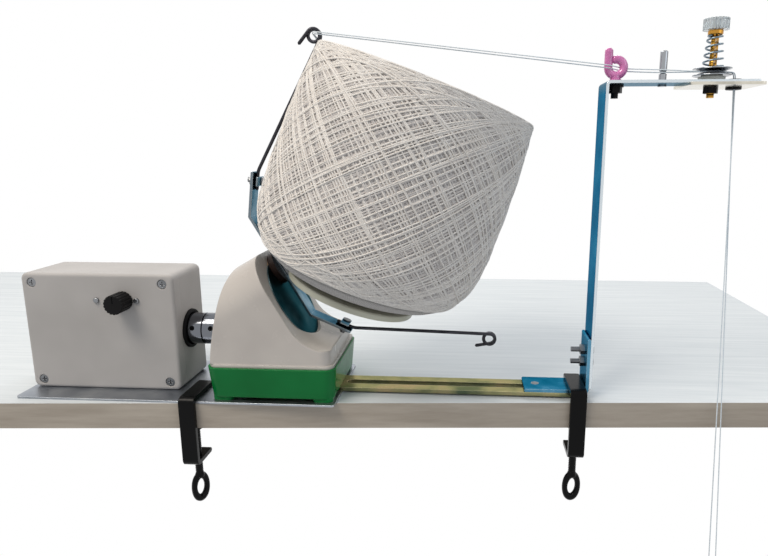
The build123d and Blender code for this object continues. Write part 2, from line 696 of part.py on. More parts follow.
MOTOR_SHAFT_IN = GEARBOX_END - GEARBOX_L / 2 + NOSE_L + FREE
with BuildPart() as motor_shaft:
    with BuildSketch(drive_plane.offset(MOTOR_SHAFT_IN)):
        Circle(MOTOR_SHAFT_D / 2)
    extrude(amount=MOTOR_SHAFT_END - MOTOR_SHAFT_IN)

with BuildPart() as input_shaft:
    with BuildSketch(drive_plane.offset(SHAFT_X[0])):
        Circle(SHAFT_D / 2)
    extrude(amount=SHAFT_X[1] - SHAFT_X[0])
    chamfer(input_shaft.edges().filter_by(GeomType.CIRCLE), 0.5)
save(Compound(children=[motor_shaft.part, input_shaft.part]), "drive_shafts")

COUPLING_MID = (COUPLING_X[0] + COUPLING_X[1]) / 2
COUPLING_SCREW_X = (COUPLING_X[0] + 8, COUPLING_X[1] - 8)
COUPLING_SCREW_UP = 60.0    # the screws point this far round from the viewer's side


def coupling_screw_plane(x):
    up = math.radians(COUPLING_SCREW_UP - 45)
    toward = Vector(0, -math.cos(up), math.sin(up))
    return Plane(origin=Vector(x, 0, DRIVE_Z) + toward * (COUPLING_D / 2), z_dir=toward)


with BuildPart() as coupling:
    with BuildSketch(drive_plane.offset(COUPLING_X[0])):
        Circle(COUPLING_D / 2)
    extrude(amount=COUPLING_X[1] - COUPLING_X[0])
    chamfer(coupling.edges().filter_by(GeomType.CIRCLE), 0.8)
    with BuildSketch(drive_plane.offset(COUPLING_MID - COUPLING_GAP / 2)):
        Circle(COUPLING_D / 2 + 1)
        Circle(COUPLING_D / 2 - 3, mode=Mode.SUBTRACT)
    extrude(amount=COUPLING_GAP, mode=Mode.SUBTRACT)
    with BuildSketch(drive_plane.offset(COUPLING_X[0])):
        Circle(MOTOR_SHAFT_D / 2)
    extrude(amount=COUPLING_MID - COUPLING_X[0], mode=Mode.SUBTRACT)
    with BuildSketch(drive_plane.offset(COUPLING_X[1])):
        Circle(SHAFT_D / 2)
    extrude(amount=-(COUPLING_X[1] - SHAFT_X[0]), mode=Mode.SUBTRACT)
    for x in COUPLING_SCREW_X:
        with BuildSketch(coupling_screw_plane(x)):
            Circle(COUPLING_SCREW_D / 2)
        extrude(amount=-(COUPLING_D - SHAFT_D) / 2, mode=Mode.SUBTRACT)
save(coupling.part, "coupling")

with BuildPart() as coupling_screws:
    for x in COUPLING_SCREW_X:
        with BuildSketch(coupling_screw_plane(x).offset(-1)):
            Circle(COUPLING_SCREW_D / 2)
        extrude(amount=-((COUPLING_D - SHAFT_D) / 2 - 1))
        with BuildSketch(coupling_screw_plane(x).offset(-1)):
            RegularPolygon(1.2, 6)
        extrude(amount=-1.5, mode=Mode.SUBTRACT)
save(coupling_screws.part, "coupling_screws")


# ---- bevel gears --------------------------------------------------------------------
def pitch_angles(teeth):
    """Pitch cone angles of the drive gear and its pinion, for crossing shafts."""
    pinion = math.atan2(math.sin(tilt), teeth[0] / teeth[1] + math.cos(tilt))
    return tilt - pinion, pinion


def bevel_gear(angle, mesh, teeth, hub):
    """A gear with its apex at the origin and its axis on +Z: hub is (radius, from, to).

    The teeth are grooves below the pitch cone, so two gears never overlap as they turn."""
    inner, outer = mesh
    pitch = 2 * math.pi * outer * math.sin(angle) / teeth
    depth = 0.62 * pitch
    along = Vector(math.sin(angle), 0, math.cos(angle))
    out = Vector(math.cos(angle), 0, -math.sin(angle))
    tips = [along * reach - out * GEAR_GAP for reach in (inner, outer)]
    back = tips[1] - out * depth * 1.6
    front = tips[0] - out * depth * 1.6
    with BuildPart() as gear:
        with BuildSketch(Plane.XZ):
            with BuildLine():
                Polyline(
                    (0, front.Z),
                    (front.X, front.Z),
                    (tips[0].X, tips[0].Z),
                    (tips[1].X, tips[1].Z),
                    (back.X, back.Z),
                    (0, back.Z),
                    close=True,
                )
            make_face()
        revolve(axis=Axis.Z)
        with BuildSketch(Plane.XY.offset(hub[1])):
            Circle(hub[0])
        extrude(amount=hub[2] - hub[1])
    with BuildPart() as groove:
        with BuildSketch(Plane(origin=tips[1] + along * 2, x_dir=(0, 1, 0), z_dir=along)):
            with BuildLine():
                Polyline(
                    (-0.27 * pitch, -1),
                    (0.27 * pitch, -1),
                    (0.12 * pitch, depth),
                    (-0.12 * pitch, depth),
                    close=True,
                )
            make_face()
        extrude(amount=-(outer - inner + 4))
    with BuildPart() as toothed:
        add(gear.part)
        with PolarLocations(0, teeth):
            add(groove.part, mode=Mode.SUBTRACT)
    return toothed.part


flyer_angles = pitch_angles(FLYER_TEETH)
feed_angles = pitch_angles(FEED_TEETH)
drive_apex = drive_plane.offset(APEX_X)
flyer_apex = flyer_plane.offset(-APEX_BACK)
GEARS = {
    "flyer_drive_gear": (drive_apex, flyer_angles[0], FLYER_MESH, FLYER_TEETH[0], (11, 74, 86), SHAFT_D),
    "feed_drive_gear": (drive_apex, feed_angles[0], FEED_MESH, FEED_TEETH[0], (9, 62, 72), SHAFT_D),
    "flyer_pinion": (flyer_apex, flyer_angles[1], FLYER_MESH, FLYER_TEETH[1], (9, 83.5, 85), FLYER_TUBE_D),
    "feed_pinion": (flyer_apex, feed_angles[1], FEED_MESH, FEED_TEETH[1], (3.2, 71, 76.5), FEED_D),
}
wheels = {}
for name, (apex, angle, mesh, teeth, hub, bore) in GEARS.items():
    blank = bevel_gear(angle, mesh, teeth, hub)
    with BuildPart() as gear_wheel:
        with Locations(apex):
            add(blank)
        with BuildSketch(apex.offset(mesh[0] - 20)):
            Circle(bore / 2)
        extrude(amount=40, mode=Mode.SUBTRACT)
    wheels[name] = gear_wheel.part
save(Compound(children=[wheels["flyer_drive_gear"], wheels["feed_drive_gear"]]), "drive_gears")
save(wheels["flyer_pinion"], "flyer_pinion")

# ---- fixed sleeve, spindle arm and spindle ------------------------------------------
cross = math.radians(90 - FLYER_TILT - CONE_TILT)
hub_from_cone = flyer_plane.origin - cone_plane.origin
HUB_OUT = -hub_from_cone.dot(cone_plane.x_dir)   # hub, from the package's axis
HUB_UP = hub_from_cone.dot(cone_plane.z_dir)     # hub, above the disc's underside
SPINDLE_S = (HUB_OUT * math.sin(cross) - HUB_UP * math.cos(cross))
SPINDLE_R = -(HUB_OUT * math.cos(cross) + HUB_UP * math.sin(cross))


def under_disc(n, s):
    """Distance from the flyer axis, at s along it, of the line n above the disc's underside."""
    return (n - HUB_UP - s * math.cos(cross)) / math.sin(cross)


with BuildPart() as sleeve_beam:
    with BuildSketch(flyer_at(BEAM_S[0])):
        Rectangle(2 * BEAM_HALF, 3 * FACE_R)
        arch(HOUSING_WALL, mode=Mode.INTERSECT)
        Circle(SLEEVE_D / 2, mode=Mode.SUBTRACT)
    extrude(amount=BEAM_S[1] - BEAM_S[0])
save(sleeve_beam.part, "sleeve_beam")

with BuildPart() as support_sleeve:
    with BuildSketch(flyer_at(SLEEVE_S[0])):
        Circle(SLEEVE_D / 2)
        Circle(FEED_D / 2 + RUN, mode=Mode.SUBTRACT)
    extrude(amount=SLEEVE_S[1] - SLEEVE_S[0])
save(support_sleeve.part, "support_sleeve")

ARM_S = STRIP_T + HUB_S[1] + FREE
arm_n = -SPINDLE_ARM_GAP
arm_mid = (ARM_S + SPINDLE_ARM_T / 2, under_disc(arm_n - SPINDLE_ARM_T / 2, ARM_S + SPINDLE_ARM_T / 2))
with BuildPart() as spindle_arm:
    with BuildSketch(flyer_side(SPINDLE_ARM_W / 2)):
        with BuildLine() as arm_line:
            Polyline(
                (arm_mid[0], SPINDLE_ARM_W / 2),
                arm_mid,
                (
                    SPINDLE_S + (arm_n - SPINDLE_ARM_T / 2) * math.cos(cross),
                    SPINDLE_R + (arm_n - SPINDLE_ARM_T / 2) * math.sin(cross),
                ),
            )
            offset(amount=SPINDLE_ARM_T / 2, side=Side.BOTH, kind=Kind.INTERSECTION)
        make_face()
    extrude(amount=SPINDLE_ARM_W)
    with BuildSketch(cone_plane.offset(arm_n)):
        Circle(SPINDLE_ARM_W / 2 + 2)
    extrude(amount=-SPINDLE_ARM_T)
    with BuildSketch(cone_plane.offset(arm_n)):
        Circle(SPINDLE_D / 2)
    extrude(amount=-SPINDLE_ARM_T, mode=Mode.SUBTRACT)
    with BuildSketch(flyer_at(0)):
        Circle(SLEEVE_D / 2)
    extrude(amount=ARM_S + SPINDLE_ARM_T, mode=Mode.SUBTRACT)

HOLDER_HUB_R = 9.0
HOLDER_HUB_TOP = 30.0
with BuildPart() as spindle:
    with BuildSketch(cone_side()):
        with BuildLine():
            Polyline(
                (0, arm_n - SPINDLE_ARM_T - 1.5),
                (SPINDLE_D / 2 + 2, arm_n - SPINDLE_ARM_T - 1.5),
                (SPINDLE_D / 2 + 2, arm_n - SPINDLE_ARM_T),
                (SPINDLE_D / 2, arm_n - SPINDLE_ARM_T),
                (SPINDLE_D / 2, arm_n),
                (SPINDLE_D / 2 + 3, arm_n),
                (SPINDLE_D / 2 + 3, -FREE),
                (SPINDLE_D / 2, -FREE),
                (SPINDLE_D / 2, HOLDER_HUB_TOP + FREE),
                (SPINDLE_D / 2 + 2.5, HOLDER_HUB_TOP + FREE),
                (SPINDLE_D / 2 + 2.5, HOLDER_HUB_TOP + FREE + 3),
                (0, HOLDER_HUB_TOP + FREE + 3),
                close=True,
            )
        make_face()
    revolve(axis=Axis(cone_plane.origin, cone_plane.z_dir))
    add(spindle_arm.part)
save(spindle.part, "spindle")

# ---- cone holder and yarn package ---------------------------------------------------
with BuildPart() as cone_holder:
    with BuildSketch(cone_side()):
        with BuildLine():
            Polyline(
                (SPINDLE_D / 2 + RUN, 0),
                (DISC_R, 0),
                (DISC_R, DISC_T),
                (TUBE_R[0], DISC_T),
                (TUBE_R[1], TUBE_TOP),
                (TUBE_R[1] - TUBE_WALL, TUBE_TOP),
                (TUBE_R[0] - TUBE_WALL, DISC_T),
                (HOLDER_HUB_R, DISC_T),
                (HOLDER_HUB_R - 2, HOLDER_HUB_TOP),
                (SPINDLE_D / 2 + RUN, HOLDER_HUB_TOP),
                close=True,
            )
        make_face()
    revolve(axis=Axis(cone_plane.origin, cone_plane.z_dir))
    rims = cone_holder.edges().filter_by(GeomType.CIRCLE).sort_by(SortBy.RADIUS)[-2:]
    fillet(rims, 1.2)
save(cone_holder.part, "cone_holder")

tube_slope = (TUBE_R[0] - TUBE_R[1]) / (TUBE_TOP - DISC_T)


def tube_radius(n):
    return TUBE_R[0] - tube_slope * (n - DISC_T)


PACK_SHOULDER = [(58.0, PACK_BOTTOM), (69.0, 15.0), (79.8, 25.5), (PACK_R_MID, 52.0)]
with BuildPart() as yarn_package:
    with BuildSketch(cone_side()):
        with BuildLine():
            shoulder = Spline(PACK_SHOULDER, tangents=((1, 0), (0, 1)))
            side = Spline([shoulder @ 1, (PACK_R_HIGH, 118), (PACK_R_TOP, PACK_TOP)])
            Polyline(
                side @ 1,
                (tube_radius(PACK_TOP), PACK_TOP),
                (tube_radius(PACK_BOTTOM), PACK_BOTTOM),
                shoulder @ 0,
            )
        make_face()
    revolve(axis=Axis(cone_plane.origin, cone_plane.z_dir))
save(yarn_package.part, "yarn_package")

# ---- feed shaft and its rubber cone -------------------------------------------------
def roller_radius(s):
    """Reaches to within FREE of the disc's rim."""
    return (HUB_OUT - s * math.sin(cross) - DISC_R - FREE) / math.cos(cross)


with BuildPart() as feed_shaft:
    with BuildSketch(flyer_at(-APEX_BACK + FEED_MESH[0] - 1)):
        Circle(FEED_D / 2)
    extrude(amount=APEX_BACK - FEED_MESH[0] + 1 + ROLLER_S[1] + 0.4)
    add(wheels["feed_pinion"])
save(feed_shaft.part, "feed_shaft")

with BuildPart() as drive_roller:
    with BuildSketch(flyer_side()):
        with BuildLine():
            Polyline(
                (ROLLER_S[0], FEED_D / 2),
                (ROLLER_S[0], roller_radius(ROLLER_S[0])),
                (ROLLER_S[1], roller_radius(ROLLER_S[1])),
                (ROLLER_S[1], FEED_D / 2),
                close=True,
            )
        make_face()
    revolve(axis=Axis(flyer_plane.origin, flyer_plane.z_dir))
save(drive_roller.part, "drive_roller")

# ---- flyer --------------------------------------------------------------------------
STRIP_S = HUB_S[1] + STRIP_T / 2
HUB_SCREW_R = 9.5
HUB_SCREW_D = 3.0
HUB_SCREW_HEAD_D = 5.6
HUB_SCREW_HEAD_T = 1.2

with BuildPart() as flyer_hub:
    with BuildSketch(flyer_at(HUB_S[0])):
        Circle(HUB_D / 2)
    extrude(amount=HUB_S[1] - HUB_S[0])
    fillet(flyer_hub.edges().group_by(Axis(flyer_plane.origin, flyer_plane.z_dir))[0], 0.8)
    with BuildSketch(flyer_at(HUB_S[0])):
        Circle(FLYER_TUBE_D / 2)
    extrude(amount=FLYER_TUBE_END - HUB_S[0])
    with BuildSketch(flyer_at(FLYER_TUBE_END)):
        Circle(SLEEVE_D / 2 + RUN)
    extrude(amount=HUB_S[1] - FLYER_TUBE_END, mode=Mode.SUBTRACT)
    with BuildSketch(flyer_at(HUB_S[1])):
        with Locations((HUB_SCREW_R, 0), (-HUB_SCREW_R, 0)):
            Circle(HUB_SCREW_D / 2)
    extrude(amount=HUB_S[0] - HUB_S[1] + 1, mode=Mode.SUBTRACT)
save(flyer_hub.part, "flyer_hub")

# Both arms are drawn alike, as points (along the flyer axis, away from it).
arm_sides = [
    Plane(origin=flyer_plane.origin, x_dir=flyer_plane.z_dir, z_dir=(0, way, 0)) for way in (-1, 1)
]
bend_point = Vector(STRIP_S, STRIP_BEND_R)
end_point = Vector(*STRIP_END)
run = (end_point - bend_point).normalized()
inward = Vector(run.Y, -run.X)

CLIP_BACK = 6.0         # clip bolt, from the end of the strip
CLIP_AT = end_point - run * CLIP_BACK
CLIP_BOLT_Y = WIRE_D / 2 + CLIP_BOLT_D / 2 + 0.2


def clip_plane(side, out):
    """Plane on the strip at the clip, facing the package: out is its height over the strip."""
    spot = side.from_local_coords(CLIP_AT + inward * (STRIP_T / 2 + out))
    facing = side.from_local_coords(CLIP_AT + inward) - side.from_local_coords(CLIP_AT)
    return Plane(origin=spot, x_dir=(0, 1, 0), z_dir=facing)


with BuildPart() as flyer_strip:
    for side in arm_sides:
        with BuildSketch(side):
            with BuildLine():
                Polyline((STRIP_S, 0), bend_point, end_point)
                offset(amount=STRIP_T / 2, side=Side.BOTH, kind=Kind.INTERSECTION)
            make_face()
        extrude(amount=STRIP_W / 2, both=True)
    with BuildSketch(flyer_at(HUB_S[1])):
        Circle(SLEEVE_D / 2 + FREE)
        with Locations((HUB_SCREW_R, 0), (-HUB_SCREW_R, 0)):
            Circle(HUB_SCREW_D / 2)
    extrude(amount=STRIP_T, mode=Mode.SUBTRACT)
    with BuildSketch(flyer_at(HUB_S[1] + STRIP_T)):
        with Locations((HUB_SCREW_R, 0), (-HUB_SCREW_R, 0)):
            Circle(HUB_SCREW_HEAD_D / 2)
    extrude(amount=-HUB_SCREW_HEAD_T, mode=Mode.SUBTRACT)
    for side in arm_sides:
        with BuildSketch(clip_plane(side, 0)):
            with Locations((CLIP_BOLT_Y, 0)):
                Circle(CLIP_BOLT_D / 2)
        extrude(amount=-STRIP_T, mode=Mode.SUBTRACT)
save(flyer_strip.part, "flyer_strip")

with BuildPart() as hub_screws:
    with BuildSketch(flyer_at(HUB_S[1] + STRIP_T)):
        with Locations((HUB_SCREW_R, 0), (-HUB_SCREW_R, 0)):
            Circle(HUB_SCREW_HEAD_D / 2)
    extrude(amount=-HUB_SCREW_HEAD_T)
    with BuildSketch(flyer_at(HUB_S[1] + STRIP_T - HUB_SCREW_HEAD_T)):
        with Locations((HUB_SCREW_R, 0), (-HUB_SCREW_R, 0)):
            Circle(HUB_SCREW_D / 2)
    extrude(amount=HUB_S[0] - HUB_S[1] + 1 - STRIP_T + HUB_SCREW_HEAD_T)


# ---- flyer wires, their clips and eyelet loops --------------------------------------
WIRE_LAP = 12.0         # how much of the wire lies on the strip
TAIL_L = 11.0
CLIP_T = 1.0
CLIP_W = 7.0
CLIP_HEAD_T = 0.8
CLIP_NUT_T = 3.2
CLIP_BOLT_OUT = 5.0      # how far the clip bolt stands out behind the strip
CLIP_NUT_AF = 7.0
wire_off = inward * (STRIP_T / 2 + WIRE_D / 2)
wire_start = end_point - run * WIRE_LAP + wire_off
wire_knee = end_point + run * 1.5 + wire_off
loop_centre = Vector(*LOOP_AT)

# The wire meets its loop on a tangent, and the tail leaves it on the other side.
to_loop = loop_centre - wire_knee
wire_aim = math.atan2(to_loop.Y, to_loop.X) - math.asin(LOOP_R / to_loop.length)
wire_way = Vector(math.cos(wire_aim), math.sin(wire_aim))
wire_touch = wire_knee + wire_way * math.sqrt(to_loop.length**2 - LOOP_R**2)
tail_start = loop_centre + (loop_centre - wire_touch)

with BuildPart() as flyer_wires:
    for side in arm_sides:
        corners = [side.from_local_coords(p) for p in (wire_start, wire_knee, wire_touch)]
        with BuildLine() as wire_line:
            FilletPolyline(*corners, radius=8)
        with BuildSketch(Plane(origin=wire_line.line @ 0, z_dir=wire_line.line % 0)):
            Circle(WIRE_D / 2)
        sweep(path=wire_line.line)
        tail_from = side.from_local_coords(tail_start)
        with BuildSketch(Plane(origin=tail_from, z_dir=wire_line.line % 1)):
            Circle(WIRE_D / 2)
        extrude(amount=-TAIL_L)
        with Locations(Plane(origin=side.from_local_coords(loop_centre), z_dir=(0, 1, 0))):
            Torus(LOOP_R, WIRE_D / 2)
save(flyer_wires.part, "flyer_wires")

with BuildPart() as wire_clips:
    for side in arm_sides:
        with BuildSketch(clip_plane(side, WIRE_D)):
            Rectangle(STRIP_W, CLIP_W)
            with Locations((CLIP_BOLT_Y, 0)):
                Circle(CLIP_BOLT_D / 2, mode=Mode.SUBTRACT)
        extrude(amount=CLIP_T)
save(wire_clips.part, "wire_clips")

with BuildPart() as clip_bolts:
    for side in arm_sides:
        with BuildSketch(clip_plane(side, WIRE_D + CLIP_T)):
            with Locations((CLIP_BOLT_Y, 0)):
                Circle(CLIP_BOLT_D * 0.8)
        extrude(amount=CLIP_HEAD_T)
        with BuildSketch(clip_plane(side, WIRE_D + CLIP_T)):
            with Locations((CLIP_BOLT_Y, 0)):
                Circle(CLIP_BOLT_D / 2)
        extrude(amount=-(WIRE_D + CLIP_T + STRIP_T + CLIP_BOLT_OUT))
        with BuildSketch(clip_plane(side, -STRIP_T)):
            with Locations((CLIP_BOLT_Y, 0)):
                RegularPolygon(CLIP_NUT_AF / 2, 6, major_radius=False)
        extrude(amount=-CLIP_NUT_T)
save(Compound(children=[hub_screws.part, clip_bolts.part]), "flyer_screws")

# ---- extension bar, its angle and the guide arm -------------------------------------
bar_mid = (BAR_X[0] + BAR_X[1]) / 2
SLOT_R = SLOT_W / 2
RIVET_X = 198.0
RIVET_D = 6.0
RIVET_HEAD_D = 12.0

with BuildPart() as slotted_bar:
    with BuildSketch(Plane.XY.offset(BAR_Z)):
        with Locations((bar_mid, BAR_Y)):
            RectangleRounded(BAR_X[1] - BAR_X[0], BAR_W, 2)
        with Locations(((SLOT_X[0] + SLOT_X[1]) / 2, BAR_Y)):
            SlotOverall(SLOT_X[1] - SLOT_X[0], SLOT_W, mode=Mode.SUBTRACT)
        with Locations((BAR_BOLT_X, BAR_Y)):
            Circle(BAR_BOLT_D / 2, mode=Mode.SUBTRACT)
    extrude(amount=BAR_T)
save(slotted_bar.part, "slotted_bar")

with BuildPart() as bar_bolt:
    with BuildSketch(Plane.XY):
        with Locations((BAR_BOLT_X, BAR_Y)):
            Circle(BAR_BOLT_HEAD_D / 2)
    extrude(amount=PLATE_T)
    with BuildSketch(Plane.XY.offset(PLATE_T)):
        with Locations((BAR_BOLT_X, BAR_Y)):
            Circle(BAR_BOLT_D / 2)
    extrude(amount=BAR_T + BASE_WALL + 7)
    with BuildSketch(Plane.XY.offset(TUB_FLOOR + BASE_WALL)):
        with Locations((BAR_BOLT_X, BAR_Y)):
            RegularPolygon(5, 6, major_radius=False)
    extrude(amount=5)

with BuildPart() as angle_bracket:
    with BuildSketch(Plane.XZ.offset(-(BAR_Y + BAR_W / 2))):
        with BuildLine():
            angle_line = FilletPolyline(
                (ANGLE_X[0], ANGLE_Z + ANGLE_T / 2),
                (ANGLE_X[1] - ANGLE_T / 2, ANGLE_Z + ANGLE_T / 2),
                (ANGLE_X[1] - ANGLE_T / 2, ANGLE_TOP),
                radius=ANGLE_T * 0.55,
            )
            offset(amount=ANGLE_T / 2, side=Side.BOTH, kind=Kind.INTERSECTION)
        make_face()
    extrude(amount=BAR_W)
    with BuildSketch(Plane.XY.offset(ANGLE_Z)):
        with Locations((RIVET_X, BAR_Y)):
            Circle(RIVET_D / 2)
    extrude(amount=ANGLE_T, mode=Mode.SUBTRACT)
    with BuildSketch(Plane.YZ.offset(UPRIGHT_X - 2 * ANGLE_T)):
        with Locations(*[(ARM_Y, z) for z in UPRIGHT_BOLT_Z]):
            Circle(M4 / 2)
    extrude(amount=3 * ANGLE_T, mode=Mode.SUBTRACT)
save(angle_bracket.part, "angle_bracket")

with BuildPart() as angle_rivet:
    with BuildSketch(Plane.XY.offset(BAR_Z - 1.2)):
        with Locations((RIVET_X, BAR_Y)):
            Circle(RIVET_HEAD_D / 2)
    extrude(amount=1.2)
    with BuildSketch(Plane.XY.offset(BAR_Z)):
        with Locations((RIVET_X, BAR_Y)):
            Circle(RIVET_D / 2)
    extrude(amount=BAR_T + ANGLE_T)
save(Compound(children=[bar_bolt.part, angle_rivet.part]), "bar_bolts")

GUIDE_Y = 0.0
PIGTAIL_STUD_D = 5.0
POST_RIVET_D = 3.0
TENSION_POST_D = 5.0
EYELET_NECK_D = 7.0
arm_holes = [
    (PIGTAIL_X, PIGTAIL_STUD_D),
    (YARN_POST_X, POST_RIVET_D),
    (TENSION_X, TENSION_POST_D),
    (EYELET_X, EYELET_NECK_D),
]

with BuildPart() as guide_arm:
    with BuildSketch(Plane.XZ.offset(-(ARM_Y + ARM_W / 2))):
        with BuildLine():
            FilletPolyline(
                (UPRIGHT_X + ARM_T / 2, UPRIGHT_FOOT),
                (UPRIGHT_X + ARM_T / 2, ARM_TOP - ARM_T / 2),
                (ARM_END, ARM_TOP - ARM_T / 2),
                radius=ARM_BEND,
            )
            offset(amount=ARM_T / 2, side=Side.BOTH, kind=Kind.INTERSECTION)
        make_face()
    extrude(amount=ARM_W)
    with BuildSketch(Plane.XY.offset(ARM_Z - 1)):
        for x, hole in arm_holes:
            with Locations((x, GUIDE_Y)):
                Circle(hole / 2)
    extrude(amount=ARM_T + 2, mode=Mode.SUBTRACT)
    with BuildSketch(Plane.YZ.offset(UPRIGHT_X - 1)):
        with Locations(*[(ARM_Y, z) for z in UPRIGHT_BOLT_Z]):
            Circle(M4 / 2)
    extrude(amount=ARM_T + 2, mode=Mode.SUBTRACT)
save(guide_arm.part, "guide_arm")

with BuildPart() as upright_bolts:
    with BuildSketch(Plane.YZ.offset(UPRIGHT_X + ARM_T)):
        with Locations(*[(ARM_Y, z) for z in UPRIGHT_BOLT_Z]):
            Circle(3.6)
    extrude(amount=2.4)
    with BuildSketch(Plane.YZ.offset(UPRIGHT_X + ARM_T)):
        with Locations(*[(ARM_Y, z) for z in UPRIGHT_BOLT_Z]):
            Circle(M4 / 2)
    extrude(amount=-(ARM_T + ANGLE_T + 10))
    with BuildSketch(Plane.YZ.offset(UPRIGHT_X - ANGLE_T)):
        with Locations(*[(ARM_Y, z) for z in UPRIGHT_BOLT_Z]):
            RegularPolygon(3.5, 6, major_radius=False)
    extrude(amount=-3.2)
save(upright_bolts.part, "upright_bolts")

plate_mid = ((GUIDE_PLATE_X[0] + GUIDE_PLATE_X[1]) / 2, ARM_Y)
GUIDE_PLATE_Z = ARM_Z - GUIDE_PLATE_T
with BuildPart() as guide_plate:
    with BuildSketch(Plane.XY.offset(GUIDE_PLATE_Z)):
        with Locations(plate_mid):
            RectangleRounded(GUIDE_PLATE_X[1] - GUIDE_PLATE_X[0], GUIDE_PLATE_W, 3)
        with Locations((TENSION_X, GUIDE_Y)):
            Circle(TENSION_POST_D / 2, mode=Mode.SUBTRACT)
        with Locations((EYELET_X, GUIDE_Y)):
            Circle(EYELET_NECK_D / 2, mode=Mode.SUBTRACT)
    extrude(amount=GUIDE_PLATE_T)
save(guide_plate.part, "guide_plate")

# ---- pigtail guide, yarn post and eyelet --------------------------------------------
PIGTAIL_D = 5.5
PIGTAIL_R = 5.7         # curl, at the middle of the rod
PIGTAIL_Z = ARM_TOP + 10.0
PIGTAIL_TOP = ARM_TOP + 23.5
with BuildPart() as pigtail_guide:
    with BuildLine(Plane.XZ.offset(-GUIDE_Y)) as curl:
        Line((PIGTAIL_X - PIGTAIL_R, PIGTAIL_TOP), (PIGTAIL_X - PIGTAIL_R, PIGTAIL_Z))
        CenterArc((PIGTAIL_X, PIGTAIL_Z), PIGTAIL_R, 180, 240)
    with BuildSketch(Plane(origin=(PIGTAIL_X - PIGTAIL_R, GUIDE_Y, PIGTAIL_TOP), z_dir=(0, 0, -1))):
        Circle(PIGTAIL_D / 2)
    sweep(path=curl.line)
    fillet(pigtail_guide.edges().filter_by(GeomType.CIRCLE).sort_by(Axis.Z)[-1], PIGTAIL_D * 0.3)
    with BuildSketch(Plane.XY.offset(ARM_TOP)):
        with Locations((PIGTAIL_X, GUIDE_Y)):
            Circle(PIGTAIL_D / 2 + 0.6)
    extrude(amount=PIGTAIL_Z - PIGTAIL_R - ARM_TOP)
save(pigtail_guide.part, "pigtail_guide")

PIGTAIL_NUT_T = 4.0
with BuildPart() as pigtail_nut:
    with BuildSketch(Plane.XY.offset(ARM_TOP)):
        with Locations((PIGTAIL_X, GUIDE_Y)):
            Circle(PIGTAIL_STUD_D / 2)
    extrude(amount=-(ARM_T + 9))
    with BuildSketch(Plane.XY.offset(ARM_Z)):
        with Locations((PIGTAIL_X, GUIDE_Y)):
            Circle(6.0)
    extrude(amount=-1.4)
    with BuildSketch(Plane.XY.offset(ARM_Z - 1.4)):
        with Locations((PIGTAIL_X, GUIDE_Y)):
            RegularPolygon(4.5, 6, major_radius=False)
    extrude(amount=-PIGTAIL_NUT_T)
save(pigtail_nut.part, "pigtail_nut")

YARN_POST_D = 5.3
YARN_POST_H = 21.0
YARN_POST_GROOVE = (5.3, 7.4)
with BuildPart() as yarn_post:
    with BuildSketch(Plane.XZ.offset(-GUIDE_Y)):
        with BuildLine():
            Polyline(
                (YARN_POST_X, ARM_Z - 1.2),
                (YARN_POST_X + 3, ARM_Z - 1.2),
                (YARN_POST_X + 3, ARM_Z),
                (YARN_POST_X + POST_RIVET_D / 2, ARM_Z),
                (YARN_POST_X + POST_RIVET_D / 2, ARM_TOP),
                (YARN_POST_X + YARN_POST_D / 2, ARM_TOP),
                (YARN_POST_X + YARN_POST_D / 2, ARM_TOP + YARN_POST_GROOVE[0]),
                (YARN_POST_X + YARN_POST_D / 2 - 0.7, ARM_TOP + YARN_POST_GROOVE[0] + 0.5),
                (YARN_POST_X + YARN_POST_D / 2 - 0.7, ARM_TOP + YARN_POST_GROOVE[1] - 0.5),
                (YARN_POST_X + YARN_POST_D / 2, ARM_TOP + YARN_POST_GROOVE[1]),
                (YARN_POST_X + YARN_POST_D / 2, ARM_TOP + YARN_POST_H - 0.8),
                (YARN_POST_X + YARN_POST_D / 2 - 0.8, ARM_TOP + YARN_POST_H),
                (YARN_POST_X, ARM_TOP + YARN_POST_H),
                close=True,
            )
        make_face()
    revolve(axis=Axis((YARN_POST_X, GUIDE_Y, 0), (0, 0, 1)))
save(yarn_post.part, "yarn_post")

EYELET_BORE = 4.8
EYELET_FLANGE_D = 10.5
EYELET_RIM = 1.6
with BuildPart() as yarn_eyelet:
    with BuildSketch(Plane.XY.offset(GUIDE_PLATE_Z - EYELET_RIM)):
        with Locations((EYELET_X, GUIDE_Y)):
            Circle(EYELET_FLANGE_D / 2)
    extrude(amount=EYELET_RIM)
    with BuildSketch(Plane.XY.offset(GUIDE_PLATE_Z)):
        with Locations((EYELET_X, GUIDE_Y)):
            Circle(EYELET_NECK_D / 2)
    extrude(amount=GUIDE_PLATE_T + ARM_T)
    with BuildSketch(Plane.XY.offset(ARM_TOP)):
        with Locations((EYELET_X, GUIDE_Y)):
            Circle(EYELET_FLANGE_D / 2)
    extrude(amount=EYELET_RIM)
    with BuildSketch(Plane.XY.offset(GUIDE_PLATE_Z - EYELET_RIM)):
        with Locations((EYELET_X, GUIDE_Y)):
            Circle(EYELET_BORE / 2)
    extrude(amount=GUIDE_PLATE_T + ARM_T + 2 * EYELET_RIM, mode=Mode.SUBTRACT)
    fillet(yarn_eyelet.edges().filter_by(GeomType.CIRCLE).group_by(Axis.Z)[-1], 0.5)
    fillet(yarn_eyelet.edges().filter_by(GeomType.CIRCLE).group_by(Axis.Z)[0], 0.5)
save(yarn_eyelet.part, "yarn_eyelet")

